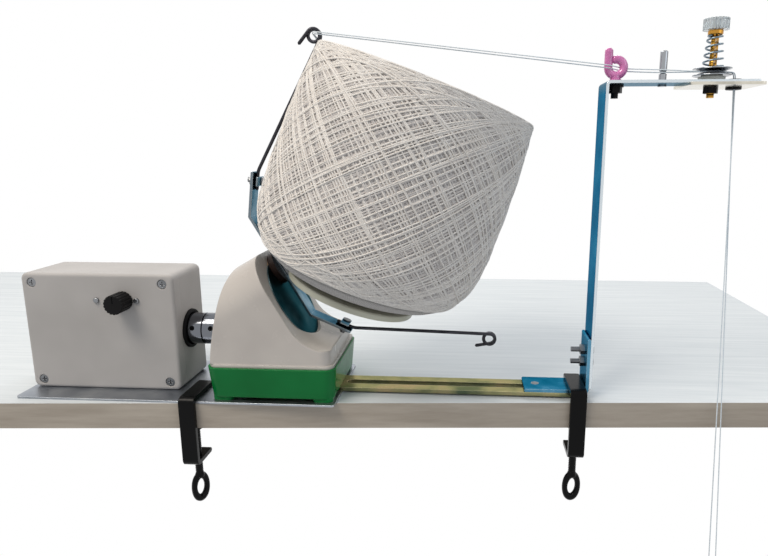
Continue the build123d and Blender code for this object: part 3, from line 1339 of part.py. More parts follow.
# ---- yarn tensioner -----------------------------------------------------------------
SEAT_D = 18.0
SEAT_T = 3.2
SAUCER_D = 27.0
SAUCER_T = 0.9
SAUCER_RISE = 1.8
SAUCER_FLAT_D = 17.0
DISC_GAP = YARN_D + 0.1
POST_BELOW = 7.0
POST_TOP = ARM_TOP + 37.5
POST_SLOT_W = 1.5
POST_SLOT_FROM = ARM_TOP + 10.0
COLLAR_D = 10.0
COLLAR_T = 3.0
COLLAR_Z = ARM_TOP + 31.0
TENSION_KNOB_D = 17.0
TENSION_KNOB_T = 7.5
SPRING_WIRE = 1.2
SPRING_TURNS = 5.0
SPRING_FACETS = 12      # short runs and arcs in each turn of the wire
SPRING_R = (7.0, 4.4)

lower_disc_z = ARM_TOP + SEAT_T + SAUCER_RISE
upper_disc_z = lower_disc_z + SAUCER_T + DISC_GAP


def tension_axis():
    return Axis((TENSION_X, GUIDE_Y, 0), (0, 0, 1))


def saucer(z, way):
    """A dished disc: its flat middle starts at z and its rim turns down (-1) or up (+1)."""
    with BuildPart() as dish:
        with BuildSketch(Plane.XZ.offset(-GUIDE_Y)):
            with BuildLine():
                Polyline(
                    (TENSION_X + TENSION_POST_D / 2 + FREE + SAUCER_T / 2, z + SAUCER_T / 2),
                    (TENSION_X + SAUCER_FLAT_D / 2, z + SAUCER_T / 2),
                    (TENSION_X + SAUCER_D / 2 - 1, z + SAUCER_T / 2 + way * SAUCER_RISE),
                )
                offset(amount=SAUCER_T / 2, side=Side.BOTH, kind=Kind.INTERSECTION)
            make_face()
        revolve(axis=tension_axis())
    return dish.part


with BuildPart() as disc_seat:
    with BuildSketch(Plane.XY.offset(ARM_TOP)):
        with Locations((TENSION_X, GUIDE_Y)):
            Circle(SEAT_D / 2)
            Circle(TENSION_POST_D / 2, mode=Mode.SUBTRACT)
    extrude(amount=SEAT_T)
    with BuildSketch(Plane.XY.offset(ARM_TOP + SEAT_T)):
        with Locations((TENSION_X, GUIDE_Y)):
            Circle(SAUCER_FLAT_D / 2 - 1.5)
            Circle(TENSION_POST_D / 2, mode=Mode.SUBTRACT)
    extrude(amount=SAUCER_RISE)
save(disc_seat.part, "disc_seat")

save(saucer(lower_disc_z, -1), "lower_disc")
save(saucer(upper_disc_z, 1), "upper_disc")

with BuildPart() as tension_post:
    with BuildSketch(Plane.XY.offset(GUIDE_PLATE_Z - POST_BELOW)):
        with Locations((TENSION_X, GUIDE_Y)):
            Circle(TENSION_POST_D / 2)
    extrude(amount=POST_TOP - GUIDE_PLATE_Z + POST_BELOW)
    with BuildSketch(Plane.XY.offset(POST_SLOT_FROM)):
        with Locations((TENSION_X, GUIDE_Y)):
            Rectangle(POST_SLOT_W, TENSION_POST_D * 2)
    extrude(amount=POST_TOP - POST_SLOT_FROM, mode=Mode.SUBTRACT)
save(tension_post.part, "tension_post")

with BuildPart() as tension_nut:
    with BuildSketch(Plane.XY.offset(GUIDE_PLATE_Z)):
        with Locations((TENSION_X, GUIDE_Y)):
            RegularPolygon(4.5, 6, major_radius=False)
            Circle(TENSION_POST_D / 2, mode=Mode.SUBTRACT)
    extrude(amount=-4)
save(tension_nut.part, "tension_nut")

spring_from = upper_disc_z + SAUCER_T + SPRING_WIRE / 2
spring_to = COLLAR_Z - SPRING_WIRE / 2
coil_points = []
for step in range(round(SPRING_TURNS * SPRING_FACETS) + 1):
    share = step / (SPRING_TURNS * SPRING_FACETS)
    turned = 2 * math.pi * step / SPRING_FACETS
    reach = SPRING_R[0] + (SPRING_R[1] - SPRING_R[0]) * share
    coil_points.append(
        (
            TENSION_X + reach * math.cos(turned),
            GUIDE_Y + reach * math.sin(turned),
            spring_from + (spring_to - spring_from) * share,
        )
    )
with BuildPart() as tension_spring:
    with BuildLine() as coils:
        FilletPolyline(*coil_points, radius=SPRING_R[1] * 0.9)
    with BuildSketch(Plane(origin=coils.line @ 0, z_dir=coils.line % 0)):
        Circle(SPRING_WIRE / 2)
    sweep(path=coils.line)
save(tension_spring.part, "tension_spring")

with BuildPart() as spring_collar:
    with BuildSketch(Plane.XY.offset(COLLAR_Z)):
        with Locations((TENSION_X, GUIDE_Y)):
            Circle(COLLAR_D / 2)
            Circle(TENSION_POST_D / 2 + RUN, mode=Mode.SUBTRACT)
    extrude(amount=COLLAR_T)
    chamfer(spring_collar.edges().filter_by(GeomType.CIRCLE).sort_by(SortBy.RADIUS)[-2:], 0.4)
save(spring_collar.part, "spring_collar")

with BuildPart() as tension_knob:
    knob_z = COLLAR_Z + COLLAR_T + THREAD_FREE
    with BuildSketch(Plane.XY.offset(knob_z)):
        with Locations((TENSION_X, GUIDE_Y)):
            Circle(TENSION_KNOB_D / 2)
            with PolarLocations(TENSION_KNOB_D / 2 + 0.3, 20):
                Circle(0.9, mode=Mode.SUBTRACT)
    extrude(amount=TENSION_KNOB_T)
    chamfer(tension_knob.faces().sort_by(Axis.Z)[-1].edges(), 0.4)
    with BuildSketch(Plane.XY.offset(knob_z)):
        with Locations((TENSION_X, GUIDE_Y)):
            Circle(TENSION_POST_D / 2 + RUN)
    extrude(amount=TENSION_KNOB_T, mode=Mode.SUBTRACT)
save(tension_knob.part, "tension_knob")

# ---- table clamps -------------------------------------------------------------------
PAD_TOP = -TABLE - FREE
SCREW_TIP_D = 5.0
SCREW_TIP_L = 2.0
EYE_TOP = -61.0
EYE_HOLE = (6.4, 13.0)
EYE_TURN = (55.0, 15.0)

for place, x, edge, top, turn in zip(("left", "right"), CLAMP_X, CLAMP_EDGE_Y, CLAMP_TOP_Z, EYE_TURN):
    foot = top - CLAMP_H
    screw_y = edge + CLAMP_SCREW_IN
    with BuildPart() as clamp_strap:
        with BuildSketch(Plane.YZ.offset(x - CLAMP_W / 2)):
            with BuildLine():
                FilletPolyline(
                    (edge + CLAMP_TOP_REACH, top - CLAMP_T / 2),
                    (edge - CLAMP_T / 2, top - CLAMP_T / 2),
                    (edge - CLAMP_T / 2, foot + CLAMP_T / 2),
                    (edge + CLAMP_FOOT_REACH, foot + CLAMP_T / 2),
                    radius=CLAMP_T * 0.75,
                )
                offset(amount=CLAMP_T / 2, side=Side.BOTH, kind=Kind.INTERSECTION)
            make_face()
        extrude(amount=CLAMP_W)
        chamfer(clamp_strap.edges().filter_by(Axis.Y), 0.4)
        with BuildSketch(Plane.XY.offset(foot)):
            with Locations((x, screw_y)):
                Circle(CLAMP_SCREW_D / 2 + THREAD_FREE)
        extrude(amount=CLAMP_T, mode=Mode.SUBTRACT)
    save(clamp_strap.part, f"{place}_clamp_strap")

    with BuildPart() as clamp_pad:
        with BuildSketch(Plane.XY.offset(PAD_TOP)):
            with Locations((x, screw_y)):
                Circle(PAD_D / 2)
        extrude(amount=-PAD_T)
        chamfer(clamp_pad.edges().group_by(Axis.Z)[-1], 0.5)
        with BuildSketch(Plane.XY.offset(PAD_TOP - PAD_T)):
            with Locations((x, screw_y)):
                Circle(SCREW_TIP_D / 2 + RUN)
        extrude(amount=SCREW_TIP_L, mode=Mode.SUBTRACT)
    save(clamp_pad.part, f"{place}_clamp_pad")

    with BuildPart() as clamp_screw:
        shank_top = PAD_TOP - PAD_T - FREE
        with BuildSketch(Plane.XY.offset(shank_top)):
            with Locations((x, screw_y)):
                Circle(SCREW_TIP_D / 2)
        extrude(amount=SCREW_TIP_L)
        with BuildSketch(Plane.XY.offset(shank_top)):
            with Locations((x, screw_y)):
                Circle(CLAMP_SCREW_D / 2)
        extrude(amount=EYE_TOP - shank_top - 2)
        around = math.radians(turn)
        with BuildSketch(
            Plane(
                origin=(x, screw_y, EYE_TOP - EYE_H / 2),
                x_dir=(math.cos(around), math.sin(around), 0),
                z_dir=(math.sin(around), -math.cos(around), 0),
            )
        ):
            Ellipse(EYE_W / 2, EYE_H / 2)
            Ellipse(EYE_HOLE[0] / 2, EYE_HOLE[1] / 2, mode=Mode.SUBTRACT)
        extrude(amount=EYE_T / 2, both=True)
    save(clamp_screw.part, f"{place}_clamp_screw")

# ---- yarn ---------------------------------------------------------------------------
# Two strands run side by side: up to the eyelet, round between the discs, past the post
# and through the pigtail towards the upper loop of the flyer. Points are set by hand.
YARN_Z = lower_disc_z + SAUCER_T + DISC_GAP / 2
YARN_ROUTES = {
    "yarn_strand_1": [
        (41.0, -0.3, 265.0),
        (240.4, -4.5, 241.6),
        (252.6, 5.9, 240.4),
        (279.0, -2.6, YARN_Z),
        (312.5, -3.2, YARN_Z),
        (327.6, 0.9, YARN_Z),
        (337.0, -32.0, -128.0),
    ],
    "yarn_strand_2": [
        (41.0, -1.5, 266.0),
        (240.4, -5.8, 242.0),
        (252.6, 4.65, 240.6),
        (279.0, -3.8, YARN_Z),
        (312.5, -4.4, YARN_Z),
        (328.5, 0.0, YARN_Z),
        (331.5, -33.0, -128.0),
    ],
}
YARN_RADII = [2.5, 2.5, 3.0, 12.0, 1.4]

for name, points in YARN_ROUTES.items():
    with BuildPart() as strand:
        with BuildLine() as route:
            FilletPolyline(*points, radius=YARN_RADII)
        with BuildSketch(Plane(origin=route.line @ 0, z_dir=route.line % 0)):
            Circle(YARN_D / 2)
        sweep(path=route.line)
    save(strand.part, name)
    length = sum(edge.length for edge in route.edges())
    ideal = math.pi * YARN_D**2 / 4 * length
    print(name, "length", round(length, 1), "volume ratio", round(strand.part.volume / ideal, 4))
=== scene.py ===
import bmesh
import bpy
import math
from mathutils import Matrix, Vector


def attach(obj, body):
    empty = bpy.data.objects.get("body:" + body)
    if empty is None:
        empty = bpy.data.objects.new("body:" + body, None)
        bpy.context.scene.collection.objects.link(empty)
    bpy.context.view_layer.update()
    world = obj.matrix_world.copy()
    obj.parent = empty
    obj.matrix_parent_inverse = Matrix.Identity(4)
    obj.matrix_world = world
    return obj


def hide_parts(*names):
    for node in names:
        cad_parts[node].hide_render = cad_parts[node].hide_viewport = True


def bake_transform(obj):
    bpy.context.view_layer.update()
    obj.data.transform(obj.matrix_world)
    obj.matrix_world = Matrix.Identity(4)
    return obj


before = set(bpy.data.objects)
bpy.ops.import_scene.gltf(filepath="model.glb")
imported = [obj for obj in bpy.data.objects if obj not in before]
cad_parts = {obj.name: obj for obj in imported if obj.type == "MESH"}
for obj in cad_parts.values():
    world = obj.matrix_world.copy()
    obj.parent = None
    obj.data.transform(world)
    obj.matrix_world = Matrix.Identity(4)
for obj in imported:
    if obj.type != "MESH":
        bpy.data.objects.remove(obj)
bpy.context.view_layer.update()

MM = 0.001
scene = bpy.context.scene
scene.view_settings.view_transform = "Standard"

# ---- places on the winder, in millimetres -------------------------------------------
HUB = Vector((0.0, 0.0, 97.0))          # flyer hub, on its axis
TILT = math.radians(30)                 # rise of the flyer axis
CONE_AT = Vector((54.0, 0.0, 75.6))     # middle of the cone disc's underside
LEAN = math.radians(21)                 # lean of the yarn package
ARM_TOP = 232.0                         # top of the guide arm
PIGTAIL_X = 246.5
TENSION_X = 312.5
YARN_D = 0.8

flyer_ahead = Vector((math.cos(TILT), 0, math.sin(TILT)))
flyer_out = Vector((-math.sin(TILT), 0, math.cos(TILT)))
cone_place = Matrix.Translation(CONE_AT * MM) @ Matrix.Rotation(LEAN, 4, "Y")


# ---- camera -------------------------------------------------------------------------
PHOTO_WIDTH = 768
FOCAL_PX = 616.0
OPTICAL_X_PX = 425.0                    # the lens axis is right of the middle of the frame
CAMERA_AT = (0.1441, -0.4631, 0.1865)
CAMERA_LOOKS = Vector((-0.0683, 0.9762, -0.2062))

lens = bpy.data.cameras.new("viewpoint")
lens.sensor_width = 36.0
lens.lens = FOCAL_PX * lens.sensor_width / PHOTO_WIDTH
lens.shift_x = (PHOTO_WIDTH / 2 - OPTICAL_X_PX) / PHOTO_WIDTH
lens.clip_start = 0.01
camera = bpy.data.objects.new("viewpoint", lens)
scene.collection.objects.link(camera)
camera.location = CAMERA_AT
camera.rotation_euler = CAMERA_LOOKS.to_track_quat("-Z", "Y").to_euler()
scene.camera = camera


# ---- shaders: small helpers ---------------------------------------------------------
def linear(code):
    """An sRGB hex colour as linear RGBA."""
    parts = [int(code[i:i + 2], 16) / 255 for i in (0, 2, 4)]
    return [c / 12.92 if c <= 0.04045 else ((c + 0.055) / 1.055) ** 2.4 for c in parts] + [1.0]


def add_node(tree, kind, inputs=None, stops=None, **settings):
    """A node with its settings, its values and links, and a ramp's (position, hex) stops."""
    made = tree.nodes.new(kind)
    for key, value in settings.items():
        setattr(made, key, value)
    for key, value in (inputs or {}).items():
        if isinstance(value, bpy.types.NodeSocket):
            tree.links.new(value, made.inputs[key])
        else:
            made.inputs[key].default_value = value
    if stops:
        band = made.color_ramp.elements
        while len(band) < len(stops):
            band.new(0.5)
        for element, (place, code) in zip(band, stops):
            element.position = place
            element.color = linear(code)
    return made


def new_material(name):
    """An empty material, its tree, its shader and its Object coordinates."""
    made = bpy.data.materials.new(name)
    made.use_nodes = True
    tree = made.node_tree
    tree.nodes.clear()
    skin = add_node(tree, "ShaderNodeBsdfPrincipled")
    add_node(tree, "ShaderNodeOutputMaterial", {"Surface": skin.outputs[0]})
    spot = add_node(tree, "ShaderNodeTexCoord").outputs["Object"]
    return made, tree, skin, spot


def per_mm(size):
    """Texture scale whose features are about this many millimetres across."""
    return 1000.0 / size


def mottle(tree, spot, size, detail=3.0, rough=0.5, along=(1.0, 1.0, 1.0)):
    """Soft random pattern, its features size millimetres across and drawn out on the axes
    where along is below 1."""
    drawn = add_node(tree, "ShaderNodeMapping", {"Vector": spot, "Scale": along}).outputs[0]
    return add_node(
        tree,
        "ShaderNodeTexNoise",
        {"Vector": drawn, "Scale": per_mm(size), "Detail": detail, "Roughness": rough},
    ).outputs["Fac"]


def tinted(tree, tone, code, pattern, share=1.0, start=0.0, end=1.0):
    """The tone, going over to a hex colour by this share as the pattern runs from start to end."""
    amount = add_node(
        tree,
        "ShaderNodeMapRange",
        {"Value": pattern, "From Min": start, "From Max": end, "To Max": share},
    ).outputs["Result"]
    inputs = {0: amount, 6: tone, 7: linear(code)}
    return add_node(tree, "ShaderNodeMix", inputs, data_type="RGBA").outputs[2]


def edge_wear_and_highlight(tree, tone, edges, code, share):
    """The tone, going over to a hex colour by this share where the rounded edges turn away from
    the face they are on: partly edge wear and partly a painted highlight along the edges."""
    facing = add_node(tree, "ShaderNodeNewGeometry").outputs["Normal"]
    inputs = {0: edges, 1: facing}
    turned = add_node(tree, "ShaderNodeVectorMath", inputs, operation="DOT_PRODUCT")
    return tinted(tree, tone, code, turned.outputs["Value"], share, 0.995, 0.80)


def dress(tree, skin, tone, rough, relief=None, edges=None, **fixed):
    """Colour, roughness and normal of the shader. rough is a value or (pattern, least, most),
    relief is (pattern, depth in mm), over the rounded edges where there are any, and fixed
    are values of other sockets, named with _ for a space."""
    if isinstance(rough, tuple):
        pattern, least, most = rough
        inputs = {"Value": pattern, "To Min": least, "To Max": most}
        rough = add_node(tree, "ShaderNodeMapRange", inputs).outputs["Result"]
    normal = edges
    if relief:
        inputs = {"Height": relief[0], "Distance": relief[1] * MM}
        if edges:
            inputs["Normal"] = edges
        normal = add_node(tree, "ShaderNodeBump", inputs).outputs["Normal"]
    for key, value in {"Base_Color": tone, "Roughness": rough, "Normal": normal, **fixed}.items():
        socket = skin.inputs[key.replace("_", " ")]
        if isinstance(value, bpy.types.NodeSocket):
            tree.links.new(value, socket)
        elif value is not None:
            socket.default_value = value


# ---- materials ----------------------------------------------------------------------
ALONG_X = (0.05, 1.0, 1.0)              # marks drawn out twenty times along X
ALONG_Z = (1.0, 1.0, 0.05)
ROLLED_MM = 0.7         # real rolling marks are finer; these are drawn so that they show


def moulded_plastic(name, codes, grain, rough, edge=1.2, gloss=0.25, grain_depth=0.03):
    """Moulded thermoplastic: an even colour that drifts slightly, a mould grain that softens
    the highlight, and small rounded edges that catch the light, their colour lightened as wear and as a
    painted highlight. The real grain is some tenths of a millimetre; grain is drawn coarser, so that it
    shows. codes are two tones and the edge colour, partly wear and partly a painted highlight."""
    made, tree, skin, spot = new_material(name)
    drift = mottle(tree, spot, 42.0, 2.0)
    edges = add_node(tree, "ShaderNodeBevel", {"Radius": edge * MM}, samples=4).outputs[0]
    stops = [(0.35, codes[0]), (0.65, codes[1])]
    tone = add_node(tree, "ShaderNodeValToRGB", {"Fac": drift}, stops).outputs["Color"]
    dress(
        tree, skin,
        # Edges go over to codes[2]: partly wear, partly a painted highlight.
        tone=edge_wear_and_highlight(tree, tone, edges, codes[2], 0.45),
        rough=(mottle(tree, spot, 9.0, 4.0), rough - 0.05, rough + 0.05),
        relief=(mottle(tree, spot, grain, 4.0, 0.6), grain_depth),
        edges=edges,
        IOR=1.53,
        Specular_IOR_Level=gloss,
    )
    return made


def plated_sheet(
    name, codes, rough, along=ALONG_X, edge=0.5, glance="FFFFFF", painted_side_tone=None, painted_reflection_above=None
):
    """Zinc plated mild steel strip: rolling marks run along it, the passivation drifts in
    colour over centimetres and keeps its colour at a glance, and its edges are lighter, partly wear and
    partly a painted highlight.
    codes are three tones and the edges; on the upright, face plate and flyer strip the tones also carry
    painted reflection and shade.
    painted_side_tone paints light or shade on the sides that face along Y, and painted_reflection_above
    (height in mm, hex) paints a reflection in that colour on what lies higher."""
    made, tree, skin, spot = new_material(name)
    cloud = mottle(tree, spot, 30.0, 4.0, 0.55)
    rolled = mottle(tree, spot, ROLLED_MM, 3.0, 0.6, along)
    edges = add_node(tree, "ShaderNodeBevel", {"Radius": edge * MM}, samples=4).outputs[0]
    stops = [(0.32, codes[0]), (0.5, codes[1]), (0.68, codes[2])]
    tone = add_node(tree, "ShaderNodeValToRGB", {"Fac": cloud}, stops).outputs["Color"]
    # Painted reflection: above this height the tone goes over to the given grey.
    if painted_reflection_above:
        level, code = painted_reflection_above
        fade = 3.0
        height = add_node(tree, "ShaderNodeSeparateXYZ", {0: spot}).outputs["Z"]
        tone = tinted(tree, tone, code, height, 1.0, (level - fade) * MM, (level + fade) * MM)
    # Painted light on the sides that face along Y: a highlight where the given colour is lighter, shade
    # where it is darker.
    if painted_side_tone:
        facing = add_node(tree, "ShaderNodeTexCoord").outputs["Normal"]
        side = add_node(tree, "ShaderNodeSeparateXYZ", {0: facing}).outputs["Y"]
        side = add_node(tree, "ShaderNodeMath", {0: side}, operation="ABSOLUTE").outputs[0]
        tone = tinted(tree, tone, painted_side_tone, side, 1.0, 0.7, 0.9)
    haze = []
    for pattern, least, most in ((cloud, rough - 0.04, rough + 0.10), (rolled, -0.05, 0.07)):
        inputs = {"Value": pattern, "To Min": least, "To Max": most}
        haze.append(add_node(tree, "ShaderNodeMapRange", inputs).outputs["Result"])
    dress(
        tree, skin,
        # Edges go over to codes[3]: partly wear, partly a painted highlight.
        tone=edge_wear_and_highlight(tree, tone, edges, codes[3], 0.7),
        rough=add_node(tree, "ShaderNodeMath", {0: haze[0], 1: haze[1]}, operation="ADD").outputs[0],
        relief=(rolled, 0.012),
        edges=edges,
        Metallic=1.0,
        Specular_Tint=linear(glance),
    )
    return made


def polished_metal(name, code, rough, ring=0.35, edge=0.25, depth=0.006):
    """Turned and polished metal: nearly a mirror, with faint tool rings, which are drawn
    coarser than real ones, so that they show."""
    made, tree, skin, spot = new_material(name)
    dress(
        tree, skin,
        tone=linear(code),
        rough=(mottle(tree, spot, 6.0, 4.0), max(rough - 0.03, 0.02), rough + 0.06),
        relief=(mottle(tree, spot, ring, 2.0, along=(1.0, 0.15, 1.0)), depth),
        edges=add_node(tree, "ShaderNodeBevel", {"Radius": edge * MM}, samples=4).outputs[0],
        Metallic=1.0,
    )
    return made


def threaded_metal(name, code, pitch, rough):
    """Metal with a rolled screw thread along Z, drawn as bright crests and roots darkened as painted shade.
    pitch may be coarser than the real thread's, so that it shows."""
    made, tree, skin, spot = new_material(name)
    waves = add_node(
        tree,
        "ShaderNodeTexWave",
        {"Vector": spot, "Scale": per_mm(pitch) / (2 * math.pi), "Distortion": 0.0},
        bands_direction="Z",
    ).outputs["Fac"]
    dress(
        tree, skin,
        # Thread roots darkened towards dark brown as painted shade.
        tone=tinted(tree, linear(code), "4A3A1C", waves, 0.55),
        rough=(mottle(tree, spot, 3.0), rough - 0.04, rough + 0.08),
        relief=(waves, 0.25),
        Metallic=1.0,
    )
    return made


def black_paint(name, code, rough, edge=0.9):
    """Black coating on iron or steel: smooth, with soft orange peel and greyer edges, partly worn and
    partly a painted highlight.
    """
    made, tree, skin, spot = new_material(name)
    peel = mottle(tree, spot, 1.6)
    edges = add_node(tree, "ShaderNodeBevel", {"Radius": edge * MM}, samples=4).outputs[0]
    dress(
        tree, skin,
        # Edges go over to grey: partly wear, partly a painted highlight.
        tone=edge_wear_and_highlight(tree, linear(code), edges, "2C2A29", 0.4),
        rough=(peel, rough - 0.04, rough + 0.10),
        relief=(peel, 0.05),
        edges=edges,
        Specular_IOR_Level=0.1,
    )
    return made


def black_wire(name):
    """Blackened spring steel wire: dark grey metal with a soft sheen and drawing lines, which
    are drawn coarser than real ones, so that they show."""
    made, tree, skin, spot = new_material(name)
    drawn = mottle(tree, spot, 0.6, along=(0.2, 1.0, 0.2))
    stops = [(0.35, "26262A"), (0.65, "3A3A40")]
    cloud = mottle(tree, spot, 12.0)
    dress(
        tree, skin,
        tone=add_node(tree, "ShaderNodeValToRGB", {"Fac": cloud}, stops).outputs["Color"],
        rough=(drawn, 0.22, 0.38),
        relief=(drawn, 0.01),
        Metallic=0.85,
    )
    return made


def rubber(name):
    """Black moulded rubber: dull, with a fine bloom."""
    made, tree, skin, spot = new_material(name)
    bloom = mottle(tree, spot, 2.5, 5.0)
    stops = [(0.3, "0C0C0D"), (0.7, "161617")]
    dress(
        tree, skin,
        tone=add_node(tree, "ShaderNodeValToRGB", {"Fac": bloom}, stops).outputs["Color"],
        rough=(bloom, 0.55, 0.75),
        relief=(mottle(tree, spot, 0.5), 0.03),
        edges=add_node(tree, "ShaderNodeBevel", {"Radius": 0.4 * MM}, samples=4).outputs[0],
        Specular_IOR_Level=0.1,
    )
    return made


def glazed_ceramic(name):
    """Glazed alumina guide: smooth pink glaze over a pale body, deeper where it pools."""
    made, tree, skin, spot = new_material(name)
    pool = mottle(tree, spot, 7.0, 2.0)
    stops = [(0.3, "B9569A"), (0.7, "D778B6")]
    dress(
        tree, skin,
        tone=add_node(tree, "ShaderNodeValToRGB", {"Fac": pool}, stops).outputs["Color"],
        rough=(pool, 0.12, 0.20),
        relief=(pool, 0.01),
        edges=add_node(tree, "ShaderNodeBevel", {"Radius": 0.6 * MM}, samples=4).outputs[0],
        Subsurface_Weight=0.25,
        Subsurface_Radius=(1.0, 0.5, 0.7),
        Subsurface_Scale=0.001,
        Coat_Weight=0.8,
        Coat_Roughness=0.04,
    )
    return made


def clear_acrylic(name):
    """Clear moulded acrylic: bright, with its knurls and flow lines showing inside."""
    made, tree, skin, spot = new_material(name)
    flow = mottle(tree, spot, 4.0)
    stops = [(0.3, "C6CED2"), (0.7, "DDE3E6")]
    dress(
        tree, skin,
        tone=add_node(tree, "ShaderNodeValToRGB", {"Fac": flow}, stops).outputs["Color"],
        rough=(flow, 0.10, 0.20),
        relief=(flow, 0.06),
        edges=add_node(tree, "ShaderNodeBevel", {"Radius": 0.4 * MM}, samples=4).outputs[0],
        Transmission_Weight=0.6,
        IOR=1.49,
    )
    return made


def circuit_board(name):
    """Glass-epoxy board with a green solder mask and tinned tracks."""
    made, tree, skin, spot = new_material(name)
    tracks = add_node(
        tree,
        "ShaderNodeTexBrick",
        {
            "Vector": spot,
            "Scale": per_mm(9.0),
            "Color1": linear("1C6B35"),
            "Color2": linear("17602F"),
            "Mortar": linear("B8B48A"),
            "Mortar Size": 0.03,
        },
    )
    edges = add_node(tree, "ShaderNodeBevel", {"Radius": 0.2 * MM}, samples=4).outputs[0]
    dress(tree, skin, tone=tracks.outputs["Color"], rough=0.35, edges=edges)
    return made


def spun_yarn(name, codes, ply=1.1):
    """Spun cotton blend yarn: matt off-white with soft fibre shadows between its plies, which
    are drawn about a strand wide, so that they show. codes are shadow, yarn and slubs."""
    made, tree, skin, spot = new_material(name)
    fibres = mottle(tree, spot, ply, 5.0, 0.7)
    slubs = mottle(tree, spot, 14.0)
    stops = [(0.30, codes[0]), (0.62, codes[1])]
    tone = add_node(tree, "ShaderNodeValToRGB", {"Fac": fibres}, stops).outputs["Color"]
    dress(
        tree, skin,
        tone=tinted(tree, tone, codes[2], slubs, 0.35, 0.35, 0.7),
        rough=0.9,
        relief=(fibres, 0.22),
        Sheen_Weight=0.35,
        Sheen_Roughness=0.5,
        Subsurface_Weight=0.12,
        Subsurface_Radius=(1.0, 0.9, 0.8),
        Subsurface_Scale=0.001,
    )
    return made


def strand_ridges(tree, across, wander):
    """Waves with a crest on each whole number of across, pushed about by the wander."""
    inputs = {"Value": wander, "To Min": -0.9, "To Max": 0.9}
    push = add_node(tree, "ShaderNodeMapRange", inputs).outputs["Result"]
    pushed = add_node(tree, "ShaderNodeMath", {0: across, 1: push}, operation="ADD").outputs[0]
    angle = add_node(tree, "ShaderNodeMath", {0: pushed, 1: 2 * math.pi}, operation="MULTIPLY")
    wave = add_node(tree, "ShaderNodeMath", {0: angle.outputs[0]}, operation="COSINE").outputs[0]
    return add_node(tree, "ShaderNodeMapRange", {"Value": wave, "From Min": -1.0}).outputs["Result"]


def wound_layers(name):
    """Deeper layers of the package, drawn from its UV map: each whole number in u and in v
    is one strand of the two families of wraps, with painted shade in the gaps between them and the whole
    layer painted darker than the outer wraps."""
    made, tree, skin, spot = new_material(name)
    lay = add_node(tree, "ShaderNodeUVMap", uv_map="lay").outputs[0]
    parts = add_node(tree, "ShaderNodeSeparateXYZ", {0: lay}).outputs
    one = strand_ridges(tree, parts[0], mottle(tree, spot, 22.0, 2.0))
    other = strand_ridges(tree, parts[1], mottle(tree, spot, 29.3, 2.0))
    weft = add_node(tree, "ShaderNodeMath", {0: one, 1: other}, operation="MAXIMUM").outputs[0]
    inputs = {"Value": mottle(tree, spot, 1.0, 4.0, 0.7), "To Max": 0.3}
    fibres = add_node(tree, "ShaderNodeMapRange", inputs).outputs["Result"]
    height = add_node(tree, "ShaderNodeMath", {0: weft, 1: fibres}, operation="ADD").outputs[0]
    # Painted shade: deep layers darker than the outer wraps, darkest in the gaps between strands.
    stops = [(0.10, "A39D9A"), (0.5, "C2BCB9"), (0.95, "D8D3CF")]
    dress(
        tree, skin,
        tone=add_node(tree, "ShaderNodeValToRGB", {"Fac": weft}, stops).outputs["Color"],
        rough=0.92,
        relief=(height, 0.7),
        Sheen_Weight=0.3,
        Sheen_Roughness=0.5,
    )
    return made


grey_abs = moulded_plastic(
    "grey_abs_enclosure", ("AAA6A3", "B2AEAB", "C6C3C0"), 0.9, 0.48, grain_depth=0.05
)
cream_abs = moulded_plastic(
    "cream_abs_housing", ("BAB3AD", "C4BDB6", "E4DED5"), 2.2, 0.26, edge=2.0, gloss=0.35
)
cream_disc = moulded_plastic(
    "cream_polystyrene_disc", ("C9C7B4", "D2D0BE", "E4E2D2"), 3.0, 0.32, edge=0.6
)
green_abs = moulded_plastic(
    "green_abs_base", ("08662F", "0C7036", "3DAA5C"), 3.0, 0.24, edge=1.4, gloss=0.12
)
black_abs = moulded_plastic(
    "black_abs", ("0B0A0B", "111011", "262425"), 0.8, 0.38, edge=0.5, gloss=0.1
)
dark_hub = moulded_plastic(
    "dark_phenolic_hub", ("1A120F", "241915", "4A382E"), 0.8, 0.26, edge=0.6, gloss=0.15
)
white_nylon = moulded_plastic(
    "white_nylon", ("CFCBC0", "D8D5CA", "E6E3DA"), 1.5, 0.40, edge=0.3
)
zinc_sheet = plated_sheet("zinc_plated_base_sheet", ("868C95", "9A9FA6", "ADB1B5", "CDD2D5"), 0.34)
# Dark teal tones of the face plate: painted shade and a painted teal reflection.
face_zinc = plated_sheet(
    "zinc_face_sheet_painted_shade_and_reflection", ("2A3B40", "3D5158", "53696F", "8FA7AC"), 0.3, glance="9FB2B6"
)
# Blue tones partly the zinc's passivation and partly a painted blue reflection; sides facing along Y get a
# painted highlight, and above 226 mm a grey painted reflection.
blue_strip = plated_sheet(
    "passivated_zinc_upright_painted_blue_reflection", ("2F6789", "447E9F", "5F97B4", "D9E6EC"), 0.2, ALONG_Z, 0.7,
    glance="7FA6BC", painted_side_tone="CDD5DA", painted_reflection_above=(226.0, "8E979D"),
)
